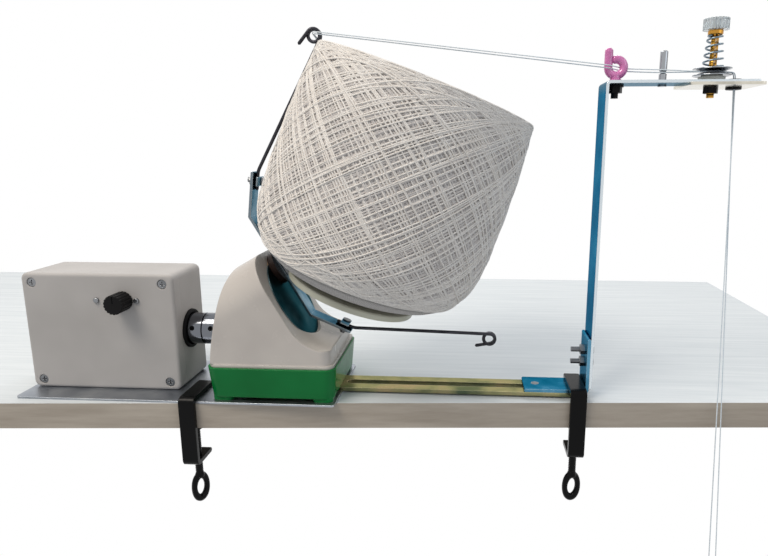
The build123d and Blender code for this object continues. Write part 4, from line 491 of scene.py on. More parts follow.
# Dark and bright tones of the flyer strip are painted reflections; its sides facing along Y are darkened as
# painted shade.
flyer_zinc = plated_sheet(
    "zinc_flyer_strip_painted_reflections", ("2A3B49", "56778A", "9DAEB7", "E4EAED"), 0.14, (1.0, 1.0, 0.1), 0.6,
    glance="B4C6CF", painted_side_tone="6E7980",
)
blue_bar = plated_sheet(
    "blue_passivated_zinc_bracket", ("346880", "4A7F9B", "6C9DB6", "C9DCE4"), 0.22, glance="8FB4C8"
)
guide_zinc = plated_sheet("bright_zinc_guide_plate", ("A5A298", "CBC6B9", "E2DDD0", "F4F0E6"), 0.14)
yellow_zinc = plated_sheet(
    "yellow_zinc_bar", ("5A6650", "96936C", "AE9B78", "DDD6AC"), 0.20, glance="D8D4BE"
)
fastener_zinc = plated_sheet(
    "zinc_plated_fasteners", ("505255", "747679", "9A9C9F", "CFD0D2"), 0.28, edge=0.2
)
chrome = polished_metal("polished_chrome", "9B9EA2", 0.05)
coupling_chrome = polished_metal("turned_chrome_coupling", "6E7177", 0.10, 0.6, depth=0.02)
turned_steel = polished_metal("turned_steel", "9DA0A4", 0.14, 0.5)
cast_aluminium = polished_metal("cast_aluminium", "A9ABAD", 0.38, 1.2, depth=0.03)
bronze = polished_metal("sintered_bronze", "A77C4E", 0.36, 0.8, depth=0.02)
blued_steel = polished_metal("blued_spring_steel", "77858F", 0.18)
brass = polished_metal("turned_brass", "B9873A", 0.16)
brass_thread = threaded_metal("threaded_brass", "C08F38", 1.4, 0.2)
enamel = black_paint("black_enamelled_iron", "060607", 0.18)
black_oxide = black_paint("black_oxide_steel", "101012", 0.32, edge=0.3)
wire_steel = black_wire("blackened_steel_wire")
ring_rubber = rubber("black_rubber")
pink_glaze = glazed_ceramic("pink_glazed_ceramic")
acrylic = clear_acrylic("clear_acrylic")
board_green = circuit_board("circuit_board_epoxy")
yarn_top = spun_yarn("spun_yarn_outer_wraps", ("CFC8C1", "EEE8E1", "F6F2ED"))
# Under wraps in darker tones than the outer wraps: painted shade for lying deeper.
yarn_under_shaded = spun_yarn("spun_yarn_under_wraps_painted_shade", ("B9B3AF", "D3CDC9", "E0DBD7"))
yarn_line = spun_yarn("spun_yarn_strand", ("B9C6D0", "DDE6EC", "F1F5F7"), 0.9)
yarn_deep = wound_layers("wound_yarn_layers_painted_shade")

NODES_OF = {
    zinc_sheet: "base_plate sleeve_beam",
    face_zinc: "face_plate",
    blue_strip: "guide_arm",
    flyer_zinc: "flyer_strip wire_clips",
    blue_bar: "angle_bracket",
    guide_zinc: "guide_plate",
    yellow_zinc: "slotted_bar",
    fastener_zinc: "bar_bolts mount_screws upright_bolts flyer_screws lid_screws panel_screws",
    black_oxide: "tension_nut coupling_screws pigtail_nut",
    grey_abs: "motor_box_body motor_box_lid",
    ring_rubber: "box_grommet drive_roller",
    cast_aluminium: "gear_motor motor_bracket bearing_pedestals",
    board_green: "speed_control",
    black_abs: "speed_knob power_jack yarn_eyelet",
    white_nylon: "disc_seat drive_gears flyer_pinion",
    dark_hub: "flyer_hub",
    green_abs: "winder_base",
    cream_abs: "winder_housing",
    cream_disc: "cone_holder",
    bronze: "bearings",
    turned_steel: "drive_shafts support_sleeve spindle feed_shaft",
    coupling_chrome: "coupling",
    chrome: "yarn_post",
    brass_thread: "tension_post",
    brass: "spring_collar",
    acrylic: "tension_knob",
    enamel: "left_clamp_strap right_clamp_strap left_clamp_pad right_clamp_pad",
}
for finish, nodes in NODES_OF.items():
    for node in nodes.split():
        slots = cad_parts[node].material_slots
        if not slots:
            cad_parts[node].data.materials.append(finish)
        for place in slots:
            place.material = finish


# ---- meshes: small helpers ----------------------------------------------------------
def finished(name, points, faces, material, sharp=None):
    """A mesh object from points in millimetres, with its normals outwards."""
    data = bpy.data.meshes.new(name)
    data.from_pydata([Vector(p) * MM for p in points], [], faces)
    work = bmesh.new()
    work.from_mesh(data)
    bmesh.ops.remove_doubles(work, verts=work.verts, dist=1e-7)
    bmesh.ops.recalc_face_normals(work, faces=work.faces)
    work.to_mesh(data)
    work.free()
    for face in data.polygons:
        face.use_smooth = True
    if sharp:
        data.set_sharp_from_angle(angle=math.radians(sharp))
    data.materials.append(material)
    made = bpy.data.objects.new(name, data)
    scene.collection.objects.link(made)
    return made


def joined(name, pieces):
    """Several mesh objects as one, under a new name."""
    work = bmesh.new()
    materials = []
    for piece in pieces:
        start = len(work.faces)
        work.from_mesh(piece.data)
        work.faces.ensure_lookup_table()
        material = piece.data.materials[0]
        if material not in materials:
            materials.append(material)
        for face in work.faces[start:]:
            face.material_index = materials.index(material)
    data = bpy.data.meshes.new(name)
    work.to_mesh(data)
    work.free()
    for material in materials:
        data.materials.append(material)
    for piece in pieces:
        bpy.data.objects.remove(piece)
    made = bpy.data.objects.new(name, data)
    scene.collection.objects.link(made)
    return made


def circle(count):
    """Angles evenly round a circle."""
    return [2 * math.pi * i / count for i in range(count)]


def grid_faces(rings, around, closed_rings=False):
    """Quads between rings of points, and between the last and the first where closed."""
    faces = []
    for i in range(rings if closed_rings else rings - 1):
        for j in range(around):
            after = (i + 1) % rings
            beside = (j + 1) % around
            faces.append((i * around + j, i * around + beside, after * around + beside, after * around + j))
    return faces


DOME = [(0.0, 0.05), (0.4, 0.6), (0.75, 0.9)]       # (share of the way in, share of the radius)
DOME_REACH = 0.9


def tube(name, path, radius, material, around=12, dome=True):
    """A rod along a path, its ends domed or squared off, turned as little as the path allows."""
    path = [Vector(p) for p in path]
    ways = []
    for i in range(len(path)):
        before = path[max(i - 1, 0)]
        after = path[min(i + 1, len(path) - 1)]
        ways.append((after - before).normalized())
    side = ways[0].orthogonal().normalized()
    stations = []
    for place, way in zip(path, ways):
        side = (side - way * side.dot(way)).normalized()
        stations.append((place, side.copy(), way.cross(side), radius))
    if dome:

        def cap(station, way):
            place, across, up, reach = station
            return [
                (place + way * reach * (1 - inward) * DOME_REACH, across, up, reach * share)
                for inward, share in DOME
            ]

        head = cap(stations[0], -ways[0])
        tail = cap(stations[-1], ways[-1])
        stations = head + stations + tail[::-1]
    points = []
    for place, across, up, reach in stations:
        for angle in circle(around):
            points.append(place + across * math.cos(angle) * reach + up * math.sin(angle) * reach)
    faces = grid_faces(len(stations), around)
    faces.append(tuple(range(around))[::-1])
    faces.append(tuple(range((len(stations) - 1) * around, len(stations) * around)))
    return finished(name, points, faces, material, None if dome else 40)


def lathe(name, profile, foot, material, around=48, sharp=35):
    """Turned piece: profile is (radius, height) from one end of the axis to the other."""
    foot = Vector(foot)
    points = [
        foot + Vector((math.cos(angle) * reach, math.sin(angle) * reach, height))
        for reach, height in profile
        for angle in circle(around)
    ]
    faces = grid_faces(len(profile), around, closed_rings=True)
    return finished(name, points, faces, material, sharp)


def threaded_rod(name, foot, radius, length, pitch, depth, material, around=24):
    """A screw shank standing on foot along Z, with a real helical thread."""
    rings_in_a_turn = 6
    rings = round(length / pitch * rings_in_a_turn) + 1
    foot = Vector(foot)
    points = []
    for i in range(rings):
        height = length * i / (rings - 1)
        for j, angle in enumerate(circle(around)):
            phase = (height / pitch - j / around) % 1.0
            reach = radius - depth * abs(2 * phase - 1)
            points.append(foot + Vector((math.cos(angle) * reach, math.sin(angle) * reach, height)))
    faces = grid_faces(rings, around)
    faces.append(tuple(range(around))[::-1])
    faces.append(tuple(range((rings - 1) * around, rings * around)))
    return finished(name, points, faces, material, 70)


def smooth_path(knots, steps):
    """Catmull-Rom curve through the knots."""
    knots = [Vector(k) for k in knots]
    padded = [knots[0] * 2 - knots[1]] + knots + [knots[-1] * 2 - knots[-2]]
    path = []
    for a, b, c, d in zip(padded, padded[1:], padded[2:], padded[3:]):
        for i in range(steps):
            t = i / steps
            square = a * 2 - b * 5 + c * 4 - d
            cube = b * 3 - a - c * 3 + d
            path.append((b * 2 + (c - a) * t + square * t * t + cube * t**3) / 2)
    path.append(knots[-1])
    return path


def grown(obj, tree, values):
    """Runs a geometry tree on the object and keeps its result as a plain mesh."""
    modifier = obj.modifiers.new(tree.name, "NODES")
    modifier.node_group = tree
    for item in tree.interface.items_tree:
        if item.in_out == "INPUT" and item.name in values:
            modifier[item.identifier] = values[item.name]
    obj.update_tag()
    bpy.context.view_layer.update()
    graph = bpy.context.evaluated_depsgraph_get()
    data = bpy.data.meshes.new_from_object(obj.evaluated_get(graph))
    obj.modifiers.remove(modifier)
    old = obj.data
    obj.data = data
    bpy.data.meshes.remove(old)
    data.name = obj.name


def geometry_tree(name, inputs):
    """A geometry tree with named inputs (label, kind, default), and its input sockets."""
    tree = bpy.data.node_groups.new(name, "GeometryNodeTree")
    tree.interface.new_socket("Geometry", in_out="INPUT", socket_type="NodeSocketGeometry")
    tree.interface.new_socket("Geometry", in_out="OUTPUT", socket_type="NodeSocketGeometry")
    for label, kind, value in inputs:
        socket = tree.interface.new_socket(label, in_out="INPUT", socket_type=kind)
        if value is not None:
            socket.default_value = value
    return tree, add_node(tree, "NodeGroupInput").outputs


# ---- the two strands of yarn --------------------------------------------------------
# Points listed: from the package through the upper flyer loop, the pigtail, the post
# and the tension discs, and down through the eyelet to what feeds the yarn below.
YARN_ROUTES = {
    "yarn_strand_1": [
        (38.6, 6.0, 260.2),
        (34.2, 4.6, 263.2),
        (32.6, 1.0, 265.4),
        (32.4, -3.4, 265.9),
        (33.4, -6.2, 266.0),
        (40.0, -6.0, 265.4),
        (235.4, -3.5, 242.0),
        (240.4, -4.5, 241.4),
        (252.6, 5.9, 240.2),
        (257.0, 4.5, 239.7),
        (274.2, -1.6, 238.3),
        (279.0, -2.9, 238.2),
        (300.0, -3.2, 238.35),
        (312.5, -3.4, 238.35),
        (322.8, 0.1, 238.35),
        (327.4, 0.9, 238.0),
        (328.0, 0.3, 232.0),
        (337.0, -32.0, -128.0),
    ],
    "yarn_strand_2": [
        (37.0, 6.6, 260.4),
        (32.6, 5.2, 263.6),
        (31.2, 1.0, 266.2),
        (31.2, -3.6, 266.8),
        (32.8, -7.3, 267.2),
        (40.0, -7.2, 266.6),
        (235.4, -4.9, 243.7),
        (240.4, -5.8, 243.1),
        (252.6, 4.65, 241.9),
        (257.0, 3.2, 241.4),
        (274.2, -2.8, 240.1),
        (279.0, -4.1, 239.8),
        (300.0, -4.4, 238.5),
        (312.5, -4.6, 238.35),
        (323.4, -1.2, 238.35),
        (328.3, 0.1, 238.0),
        (328.6, -0.6, 232.0),
        (331.5, -33.0, -128.0),
    ],
}


def route_line(route):
    """Points along the smooth line of a route."""
    curve = bpy.data.curves.new("route", "CURVE")
    curve.dimensions = "3D"
    curve.resolution_u = 10
    line = curve.splines.new("NURBS")
    line.points.add(len(route) - 1)
    for point, place in zip(line.points, route):
        point.co = (*place, 1.0)
    line.order_u = 3
    line.use_endpoint_u = True
    holder = bpy.data.objects.new("route", curve)
    scene.collection.objects.link(holder)
    bpy.context.view_layer.update()
    graph = bpy.context.evaluated_depsgraph_get()
    data = bpy.data.meshes.new_from_object(holder.evaluated_get(graph))
    path = [vertex.co.copy() for vertex in data.vertices]
    bpy.data.objects.remove(holder)
    bpy.data.curves.remove(curve)
    bpy.data.meshes.remove(data)
    return path


for name, route in YARN_ROUTES.items():
    path = route_line(route)
    strand = tube(f"{name}_spun", path, YARN_D / 2, yarn_line, around=8, dome=False)
    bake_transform(strand)
    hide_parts(name)

# ---- wound yarn package -------------------------------------------------------------
PACK_PROFILE = [(58.0, 10.0), (69.0, 15.0), (79.8, 25.5), (88.6, 52.0), (87.6, 118.0), (82.5, 166.0)]
TUBE_BORE = 15.4        # radius of the cone where it leaves the yarn
CROWN = [(80.2, -0.3), (76.0, -0.1), (62.0, 0.2), (44.0, 0.1), (24.0, -0.2), (TUBE_BORE, -1.2)]
PACK_FOOT = (26.8, 11.0)                # where the underside meets the cone
CORE_SINK = 1.5         # the drawn layers lie this far under the outer wraps
CORE_AROUND = 220
WRAP_TILT = math.radians(42.6)
WRAP_MIDDLE = 88.5      # height on the package where the wraps cross their own middle
WRAP_POINTS = 84        # points in one wrap
WRAP_LOW = 1.0          # a wrap keeps this far from the package's lower end
WRAP_HIGH = 0.4         # and this far from its upper end
WRAP_SPREAD = 0.0085    # the copies of a wrap differ in radius by up to this share
WRAP_JITTER = 0.32      # and stray from even steps by up to this share of a step
END_SWIRL = 0.3         # how far the drawn strands swing round on the package's end
LAY_STRANDS = 165       # strands of each family in the drawn layers
LAY_LEAST_R = 20.0      # the strand map narrows no further towards the axis
CROWN_DEPTH = 1.3       # the crown lies within this of the package's top
outer = smooth_path([(r, n, 0) for r, n in PACK_PROFILE], 24)


def pack_radius(height):
    """Radius of the package at this height over the disc."""
    if height <= outer[0].y:
        return outer[0].x
    for a, b in zip(outer, outer[1:]):
        if a.y <= height <= b.y:
            return a.x + (b.x - a.x) * (height - a.y) / max(b.y - a.y, 1e-9)
    return outer[-1].x


def wrap_loop(tilt, middle, turn, sink):
    """One closed wrap on the package, in the cone's own frame."""
    loop = []
    for angle in circle(WRAP_POINTS):
        height = middle
        for _ in range(12):             # the height and the radius there settle together
            height = middle + pack_radius(height) * math.tan(tilt) * math.cos(angle)
            height = min(max(height, outer[0].y + WRAP_LOW), outer[-1].y - WRAP_HIGH)
        reach = pack_radius(height) - sink
        loop.append((math.cos(angle + turn) * reach, math.sin(angle + turn) * reach, height))
    return loop


def wrap_tree():
    """Copies the base wraps round the package's axis and gives them their thickness."""
    tree, given = geometry_tree(
        "wraps_round_the_cone",
        [
            ("Copies", "NodeSocketInt", 36),
            ("Turn", "NodeSocketFloat", 0.17),
            ("Spread", "NodeSocketFloat", 0.006),
            ("Yarn radius", "NodeSocketFloat", 0.0005),
            ("Sides", "NodeSocketInt", 5),
            ("Seed", "NodeSocketInt", 3),
            ("Finish", "NodeSocketMaterial", None),
        ],
    )
    curve = add_node(tree, "GeometryNodeMeshToCurve", {"Mesh": given["Geometry"]})
    spots = add_node(tree, "GeometryNodeMeshLine", {"Count": given["Copies"], "Offset": (0, 0, 0)})
    index = add_node(tree, "GeometryNodeInputIndex").outputs[0]
    jitter = add_node(
        tree,
        "FunctionNodeRandomValue",
        {"Min": -WRAP_JITTER, "Max": WRAP_JITTER, "ID": index, "Seed": given["Seed"]},
        data_type="FLOAT",
    ).outputs["Value"]
    shifted = add_node(tree, "ShaderNodeMath", {0: index, 1: jitter}, operation="ADD").outputs[0]
    angle = add_node(tree, "ShaderNodeMath", {0: shifted, 1: given["Turn"]}, operation="MULTIPLY")
    turn = add_node(tree, "ShaderNodeCombineXYZ", {"Z": angle.outputs[0]})
    least = add_node(tree, "ShaderNodeMath", {0: 1.0, 1: given["Spread"]}, operation="SUBTRACT")
    swell = add_node(
        tree,
        "FunctionNodeRandomValue",
        {"Min": least.outputs[0], "Max": 1.0, "ID": index, "Seed": given["Seed"]},
        data_type="FLOAT",
    ).outputs["Value"]
    size = add_node(tree, "ShaderNodeCombineXYZ", {"X": swell, "Y": swell, "Z": 1.0})
    copies = add_node(
        tree,
        "GeometryNodeInstanceOnPoints",
        {
            "Points": spots.outputs[0],
            "Instance": curve.outputs[0],
            "Rotation": turn.outputs[0],
            "Scale": size.outputs[0],
        },
    )
    real = add_node(tree, "GeometryNodeRealizeInstances", {"Geometry": copies.outputs[0]})
    ring = add_node(
        tree,
        "GeometryNodeCurvePrimitiveCircle",
        {"Resolution": given["Sides"], "Radius": given["Yarn radius"]},
    )
    solid = add_node(
        tree,
        "GeometryNodeCurveToMesh",
        {"Curve": real.outputs[0], "Profile Curve": ring.outputs[0]},
    )
    smooth = add_node(tree, "GeometryNodeSetShadeSmooth", {"Geometry": solid.outputs[0]})
    done = add_node(
        tree,
        "GeometryNodeSetMaterial",
        {"Geometry": smooth.outputs[0], "Material": given["Finish"]},
    )
    add_node(tree, "NodeGroupOutput", {"Geometry": done.outputs[0]})
    return tree


def wrapped(name, finish, variants, copies, seed, tree, radius):
    """A set of wraps: variants are (tilt in degrees, middle, turn in degrees, sink)."""
    points = []
    edges = []
    for tilt, middle, turn, sink in variants:
        loop = wrap_loop(math.radians(tilt), middle, math.radians(turn), sink)
        start = len(points)
        points += [Vector(p) * MM for p in loop]
        edges += [(start + i, start + (i + 1) % len(loop)) for i in range(len(loop))]
    data = bpy.data.meshes.new(name)
    data.from_pydata(points, edges, [])
    made = bpy.data.objects.new(name, data)
    scene.collection.objects.link(made)
    values = {
        "Copies": copies,
        "Turn": 2 * math.pi / copies,
        "Spread": WRAP_SPREAD,
        "Yarn radius": radius * MM,
        "Sides": 5,
        "Seed": seed,
        "Finish": finish,
    }
    grown(made, tree, values)
    made.data.transform(cone_place)
    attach(made, "cone")


def package_core():
    """The drawn layers: the whole package as one closed turned form with its strand map."""
    side = [(p.x - CORE_SINK, p.y) for p in outer[::3]]
    side[0] = (side[0][0], side[0][1] + 0.2)
    top = outer[-1].y
    profile = side[:-1] + [(reach, top + rise) for reach, rise in CROWN] + [PACK_FOOT]
    points = [
        (math.cos(angle) * reach, math.sin(angle) * reach, height)
        for reach, height in profile
        for angle in circle(CORE_AROUND)
    ]
    faces = grid_faces(len(profile), CORE_AROUND, closed_rings=True)
    data = bpy.data.meshes.new("yarn_package_layers")
    data.from_pydata([Vector(p) * MM for p in points], [], faces)
    lay = data.uv_layers.new(name="lay")
    reach_up = math.tan(WRAP_TILT)
    low_turn = max(p.x for p in outer if p.y < WRAP_MIDDLE - p.x * reach_up)
    for number, face in enumerate(data.polygons):
        column = number % CORE_AROUND
        for corner, loop in enumerate(face.loop_indices):
            vertex = points[data.loops[loop].vertex_index]
            share = (column + (1 if corner in (1, 2) else 0)) / CORE_AROUND
            reach = math.hypot(vertex[0], vertex[1])
            lift = (vertex[2] - WRAP_MIDDLE) / (max(reach, LAY_LEAST_R) * reach_up)
            bend = math.acos(max(-1.0, min(1.0, lift))) / (2 * math.pi)
            if vertex[2] > top - CROWN_DEPTH:
                bend = -END_SWIRL * (1 - reach / outer[-1].x)
            elif lift < -1:
                bend = 0.5 + END_SWIRL * (1 - reach / low_turn)
            lay.data[loop].uv = ((share + bend) * LAY_STRANDS, (share - bend) * LAY_STRANDS)
    work = bmesh.new()
    work.from_mesh(data)
    bmesh.ops.recalc_face_normals(work, faces=work.faces)
    work.to_mesh(data)
    work.free()
    for face in data.polygons:
        face.use_smooth = True
    data.materials.append(yarn_deep)
    made = bpy.data.objects.new("yarn_package_layers", data)
    scene.collection.objects.link(made)
    made.data.transform(cone_place)
    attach(made, "cone")
    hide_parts("yarn_package")


package_core()
tree = wrap_tree()
wrapped(
    "yarn_wraps_under", yarn_under_shaded,
    [(43.3, 88.2, 0, 1.1), (42.4, 87.4, 91.7, 1.05), (43.0, 89.4, 178.4, 1.1), (41.6, 88.0, 271.1, 1.0)],
    34, 5, tree, 0.62,
)
wrapped(
    "yarn_wraps_middle", yarn_top,
    [(42.9, 88.0, 3.5, 0.75), (43.2, 88.9, 93.6, 0.8), (41.4, 89.0, 184.8, 0.7), (42.6, 88.4, 276.2, 0.75)],
    25, 11, tree, 0.6,
)
wrapped(
    "yarn_wraps_outer", yarn_top,
    [(43.2, 88.4, 1.6, 0.4), (42.2, 88.8, 47.0, 0.45), (40.8, 88.2, 169.0, 0.35)],
    15, 23, tree, 0.6,
)


# ---- flyer wires: each one a single length bent into an eyelet loop -----------------
WIRE_R = 1.3
LOOP_AT = (112.0, 130.0)
LOOP_R = 4.4
LOOP_TURN = math.radians(528)
LOOP_PITCH = 2.65       # sideways lift in one turn, so that the coils lie side by side
STRIP_BEND = Vector((0.8, 44.0))
STRIP_END = Vector((20.6, 70.5))
STRIP_T = 2.0
WIRE_LAP = 12.0
TAIL_L = 11.0
KNEE_PAST = 1.5         # the knee lies this far past the strip's end
KNEE_REACH = 2.6        # and its round bend starts and ends this far from it
strip_way = (STRIP_END - STRIP_BEND).normalized()
strip_in = Vector((strip_way.y, -strip_way.x))
wire_off = strip_in * (STRIP_T / 2 + WIRE_R)


def flyer_wire(way):
    """One wire in points (along the flyer axis, away from it, sideways)."""
    start = STRIP_END - strip_way * WIRE_LAP + wire_off
    knee = STRIP_END + strip_way * KNEE_PAST + wire_off
    centre = Vector(LOOP_AT)
    to_loop = centre - knee
    aim = math.atan2(to_loop.y, to_loop.x) - math.asin(LOOP_R / to_loop.length)
    run_way = Vector((math.cos(aim), math.sin(aim)))
    touch = knee + run_way * math.sqrt(to_loop.length_squared - LOOP_R**2)
    flat = []
    for i in range(5):
        flat.append((*start.lerp(knee, i / 4 * 0.8), 0))
    back = knee - (knee - start).normalized() * KNEE_REACH
    ahead = knee + run_way * KNEE_REACH
    for i in range(7):
        t = i / 6
        bend = back * (1 - t) ** 2 + knee * 2 * t * (1 - t) + ahead * t * t
        flat.append((*bend, 0))
    for i in range(1, 14):
        flat.append((*ahead.lerp(touch, i / 14), 0))
    begin = math.atan2(touch.y - centre.y, touch.x - centre.x)
    steps = 44
    for i in range(steps + 1):
        share = i / steps
        angle = begin + share * LOOP_TURN
        lift = share * LOOP_TURN / (2 * math.pi) * LOOP_PITCH
        flat.append((centre.x + math.cos(angle) * LOOP_R, centre.y + math.sin(angle) * LOOP_R, lift))
    last = flat[-1]
    angle = begin + LOOP_TURN
    off = Vector((-math.sin(angle), math.cos(angle)))
    for i in range(1, 6):
        flat.append((last[0] + off.x * TAIL_L * i / 5, last[1] + off.y * TAIL_L * i / 5, last[2]))
    return [HUB + flyer_ahead * s + flyer_out * r * way + Vector((0, -y * way, 0)) for s, r, y in flat]


wires = [tube(f"wire_{way}", flyer_wire(way), WIRE_R, wire_steel, around=14) for way in (1, -1)]
wires = joined("flyer_wires_bent", wires)
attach(wires, "flyer")
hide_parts("flyer_wires")

# ---- pigtail guide ------------------------------------------------------------------
PIGTAIL_R = 5.4
PIGTAIL_ROD = 2.95
PIGTAIL_Z = ARM_TOP + 10.0
PIGTAIL_TOP = ARM_TOP + 23.5
PIGTAIL_TURN = 285      # degrees, from the side that the straight tail comes down on


def pigtail():
    """Round ceramic rod, straight at the tail and curled into an open eye, on a turned stem."""
    path = [Vector((PIGTAIL_X - PIGTAIL_R, 0, PIGTAIL_TOP - 2.2 - i * 1.6)) for i in range(7)]
    for i in range(37):
        angle = math.radians(180 + PIGTAIL_TURN * i / 36)
        across = PIGTAIL_R * math.cos(angle)
        path.append(Vector((PIGTAIL_X + across, 0, PIGTAIL_Z + PIGTAIL_R * math.sin(angle))))
    curl = tube("curl", path, PIGTAIL_ROD, pink_glaze, around=20)
    stem = lathe(
        "stem",
        [(0.01, 0), (4.4, 0), (4.4, 1.6), (3.4, 2.4), (3.1, 5.0), (0.01, 5.0)],
        (PIGTAIL_X, 0, ARM_TOP),
        pink_glaze,
        28,
    )
    made = joined("pigtail_guide_glazed", [curl, stem])
    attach(made, "frame")
    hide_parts("pigtail_guide")


pigtail()

# ---- tensioner: dished discs and the conical spring --------------------------------
SEAT_TOP = ARM_TOP + 5.0
SAUCER_T = 0.9
SAUCER_R = 12.9
SAUCER_RISE = 1.8
RIM_ROLL = 0.45
SPRING_FROM = ARM_TOP + 8.3
SPRING_TO = ARM_TOP + 30.4
SPRING_TURNS = 5.6
SPRING_FOOT_R = 7.0
SPRING_HEAD_R = 4.4
SPRING_WIRE_R = 0.7
CLOSED_SHARE = 0.1      # share of the wire that lies in each closed end turn
CLOSED_LIFT = 0.06      # share of the rise that is spread over the whole wire


def tension_disc(name, node, body, low, way):
    """A pressed disc with a rolled rim, dished down (-1) or up (+1)."""
    rim = []
    for degrees in (-60, -25, 0, 30, 60, 90):
        angle = math.radians(degrees)
        reach = SAUCER_R - RIM_ROLL + RIM_ROLL * math.cos(angle)
        rim.append((reach, SAUCER_RISE * 0.96 + RIM_ROLL * math.sin(angle)))
    under = [(2.85, 0.0), (7.6, 0.0), (8.8, 0.15), (11.0, 0.95), (12.2, 1.4)]
    over = [(11.4, 1.85), (10.2, 1.5), (8.2, 1.0), (7.2, SAUCER_T), (2.85, SAUCER_T)]
    profile = under + rim + over
    if way < 0:
        profile = [(r, SAUCER_T - h) for r, h in profile][::-1]
    made = lathe(name, profile, (TENSION_X, 0, low), chrome, 64, 30)
    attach(made, body)
    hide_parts(node)


tension_disc("lower_disc_polished", "lower_disc", "frame", SEAT_TOP, -1)
tension_disc("upper_disc_polished", "upper_disc", "top_disc", SEAT_TOP + SAUCER_T + YARN_D + 0.1, 1)


def conical_spring():
    """Wire spring with its end turns closed flat."""
    steps = 150
    path = []
    for i in range(steps + 1):
        share = i / steps
        climb = min(max((share - CLOSED_SHARE) / (1 - 2 * CLOSED_SHARE), 0.0), 1.0)
        climb = climb * (1 - CLOSED_LIFT) + share * CLOSED_LIFT
        reach = SPRING_FOOT_R + (SPRING_HEAD_R - SPRING_FOOT_R) * share
        angle = 2 * math.pi * SPRING_TURNS * share
        path.append(
            Vector((
                TENSION_X + math.cos(angle) * reach,
                math.sin(angle) * reach,
                SPRING_FROM + (SPRING_TO - SPRING_FROM) * climb,
            ))
        )
    made = tube("tension_spring_wound", path, SPRING_WIRE_R, blued_steel, around=10)
    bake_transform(made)
    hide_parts("tension_spring")


conical_spring()

# ---- clamp screws: threaded shank and oval eye --------------------------------------
CLAMPS = {                              # (x, y, turn of the eye)
    "left": (-62.5, -36.0, math.radians(55)),
    "right": (228.0, -15.0, math.radians(15)),
}
SHANK_TOP = -24.1
SHANK_FOOT = -64.4
SHANK_R = 3.0
THREAD_PITCH = 1.5
THREAD_DEPTH = 0.45
NECK_AT = -66.0
NECK = [(0.01, 0), (2.0, 0), (3.4, 1.4), (3.6, 3.0), (3.0, 4.6), (0.01, 4.6)]
EYE_MIDDLE = -73.5
EYE_MID_W = 5.35
EYE_MID_H = 9.5
EYE_THICK = 2.5         # half of the eye's thickness


def clamp_screw(side, x, y, turn):
    """Eye screw: threaded shank with a turned tip, a neck and an oval eye, broader at its ends."""
    length = SHANK_TOP - SHANK_FOOT
    rod = threaded_rod(
        "rod", (x, y, SHANK_FOOT), SHANK_R, length, THREAD_PITCH, THREAD_DEPTH, enamel
    )
    tip = lathe("tip", [(0.01, 0), (2.5, 0), (2.5, 2.0), (0.01, 2.0)], (x, y, SHANK_TOP), enamel, 20)
    across = Vector((math.cos(turn), math.sin(turn), 0))
    through = Vector((math.sin(turn), -math.cos(turn), 0))
    around = 14
    steps = 48
    points = []
    for angle in circle(steps):
        middle = across * EYE_MID_W * math.cos(angle) + Vector((0, 0, EYE_MID_H * math.sin(angle)))
        outward = across * math.cos(angle) / EYE_MID_W
        outward = (outward + Vector((0, 0, math.sin(angle) / EYE_MID_H))).normalized()
        broad = 2.1 + 0.8 * math.sin(angle) ** 2
        for around_rod in circle(around):
            points.append(
                Vector((x, y, EYE_MIDDLE)) + middle
                + outward * broad * math.cos(around_rod)
                + through * EYE_THICK * math.sin(around_rod)
            )
    eye = finished("eye", points, grid_faces(steps, around, closed_rings=True), enamel)
    neck = lathe("neck", NECK, (x, y, NECK_AT), enamel, 24)
    made = joined(f"{side}_clamp_screw_threaded", [rod, tip, eye, neck])
    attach(made, f"{side}_screw")
    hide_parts(f"{side}_clamp_screw")


for side, (x, y, turn) in CLAMPS.items():
    clamp_screw(side, x, y, turn)


# ---- stage: a pale board under the plate, and plain studio light --------------------
BOARD_T = 20.0
BOARD_LEFT = -900.0
BOARD_RIGHT = 485.0
BOARD_BACK = 420.0
EDGE_MIDDLE = Vector((82.75, -34.9))    # front edge of the board, between the clamps
EDGE_SLOPE = 0.0723


def laminate(name, codes):
    """Wood-grain laminate: pale print with long soft streaks along the board."""
    made, tree, skin, spot = new_material(name)
    streaks = mottle(tree, spot, 7.0, 5.0, 0.65, ALONG_X)
    stops = [(0.3, codes[0]), (0.7, codes[1])]
    tone = add_node(tree, "ShaderNodeValToRGB", {"Fac": streaks}, stops).outputs["Color"]
    dress(tree, skin, tone=tone, rough=0.42)
    return made


def front_edge(x):
    """Y of the board's front edge, which runs a little askew."""
    return EDGE_MIDDLE.y + EDGE_SLOPE * (x - EDGE_MIDDLE.x)


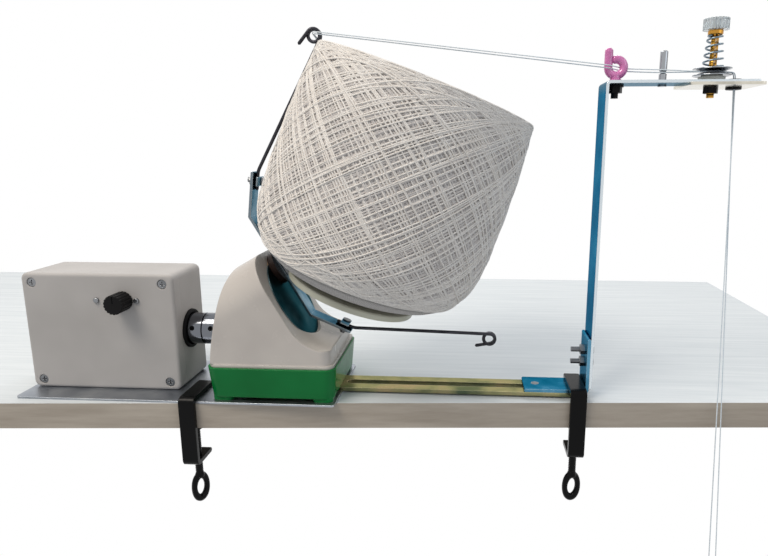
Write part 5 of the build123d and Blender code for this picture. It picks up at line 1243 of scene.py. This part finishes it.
def pale_board():
    """The board that the clamps hold; its sides and underside are darker, partly the edge's own beige
    colour and partly painted shade.
    """
    outline = [
        (BOARD_LEFT, front_edge(BOARD_LEFT)),
        (BOARD_RIGHT, front_edge(BOARD_RIGHT)),
        (BOARD_RIGHT, BOARD_BACK),
        (BOARD_LEFT, BOARD_BACK),
    ]
    points = [(x, y, z) for z in (-BOARD_T, -0.05) for x, y in outline]
    faces = [(0, 1, 2, 3), (4, 5, 6, 7), (0, 1, 5, 4), (1, 2, 6, 5), (2, 3, 7, 6), (3, 0, 4, 7)]
    board = finished("stage_board", points, faces, laminate("pale_laminate_top", ("C9CFD2", "DADEE0")), 30)
    # Sides and underside: own beige edge colour, darkened as painted shade.
    board.data.materials.append(laminate("laminate_edge_painted_shade", ("9A8F82", "B3A99C")))
    for face in board.data.polygons:
        face.material_index = 0 if face.normal.z > 0.5 else 1


pale_board()


def soft_lamp(name, place, aim, size, power, tint="FFFFFF"):
    """Rectangular lamp that looks from its place to its aim, in metres and watts."""
    data = bpy.data.lights.new(name, "AREA")
    data.shape = "RECTANGLE"
    data.size, data.size_y = size
    data.energy = power
    data.color = linear(tint)[:3]
    made = bpy.data.objects.new(name, data)
    scene.collection.objects.link(made)
    made.location = place
    made.rotation_euler = (Vector(aim) - Vector(place)).to_track_quat("-Z", "Y").to_euler()


soft_lamp("key", (-0.55, -0.60, 1.25), (0.05, 0.0, 0.12), (0.8, 0.6), 14.0, "FFF6EA")
soft_lamp("fill", (1.15, -0.75, 0.75), (0.1, 0.0, 0.12), (0.8, 0.8), 2.5, "EAF3FF")
soft_lamp("back", (0.1, 0.9, 1.3), (0.05, 0.0, 0.12), (1.2, 0.6), 9.0)

world = bpy.data.worlds.new("studio")
scene.world = world
world.use_nodes = True
sky = world.node_tree                   # soft grey light, with white seen and mirrored
sky.nodes.clear()
rays = add_node(sky, "ShaderNodeLightPath").outputs
seen = rays["Is Camera Ray"]
for ray in ("Is Glossy Ray", "Is Transmission Ray"):
    seen = add_node(sky, "ShaderNodeMath", {0: seen, 1: rays[ray]}, operation="MAXIMUM").outputs[0]
glow = add_node(sky, "ShaderNodeBackground", {"Color": linear("F2F6FA"), "Strength": 0.5}).outputs[0]
show = add_node(sky, "ShaderNodeBackground", {"Color": linear("FFFFFF"), "Strength": 1.0}).outputs[0]
both = add_node(sky, "ShaderNodeMixShader", {0: seen, 1: glow, 2: show}).outputs[0]
add_node(sky, "ShaderNodeOutputWorld", {"Surface": both})
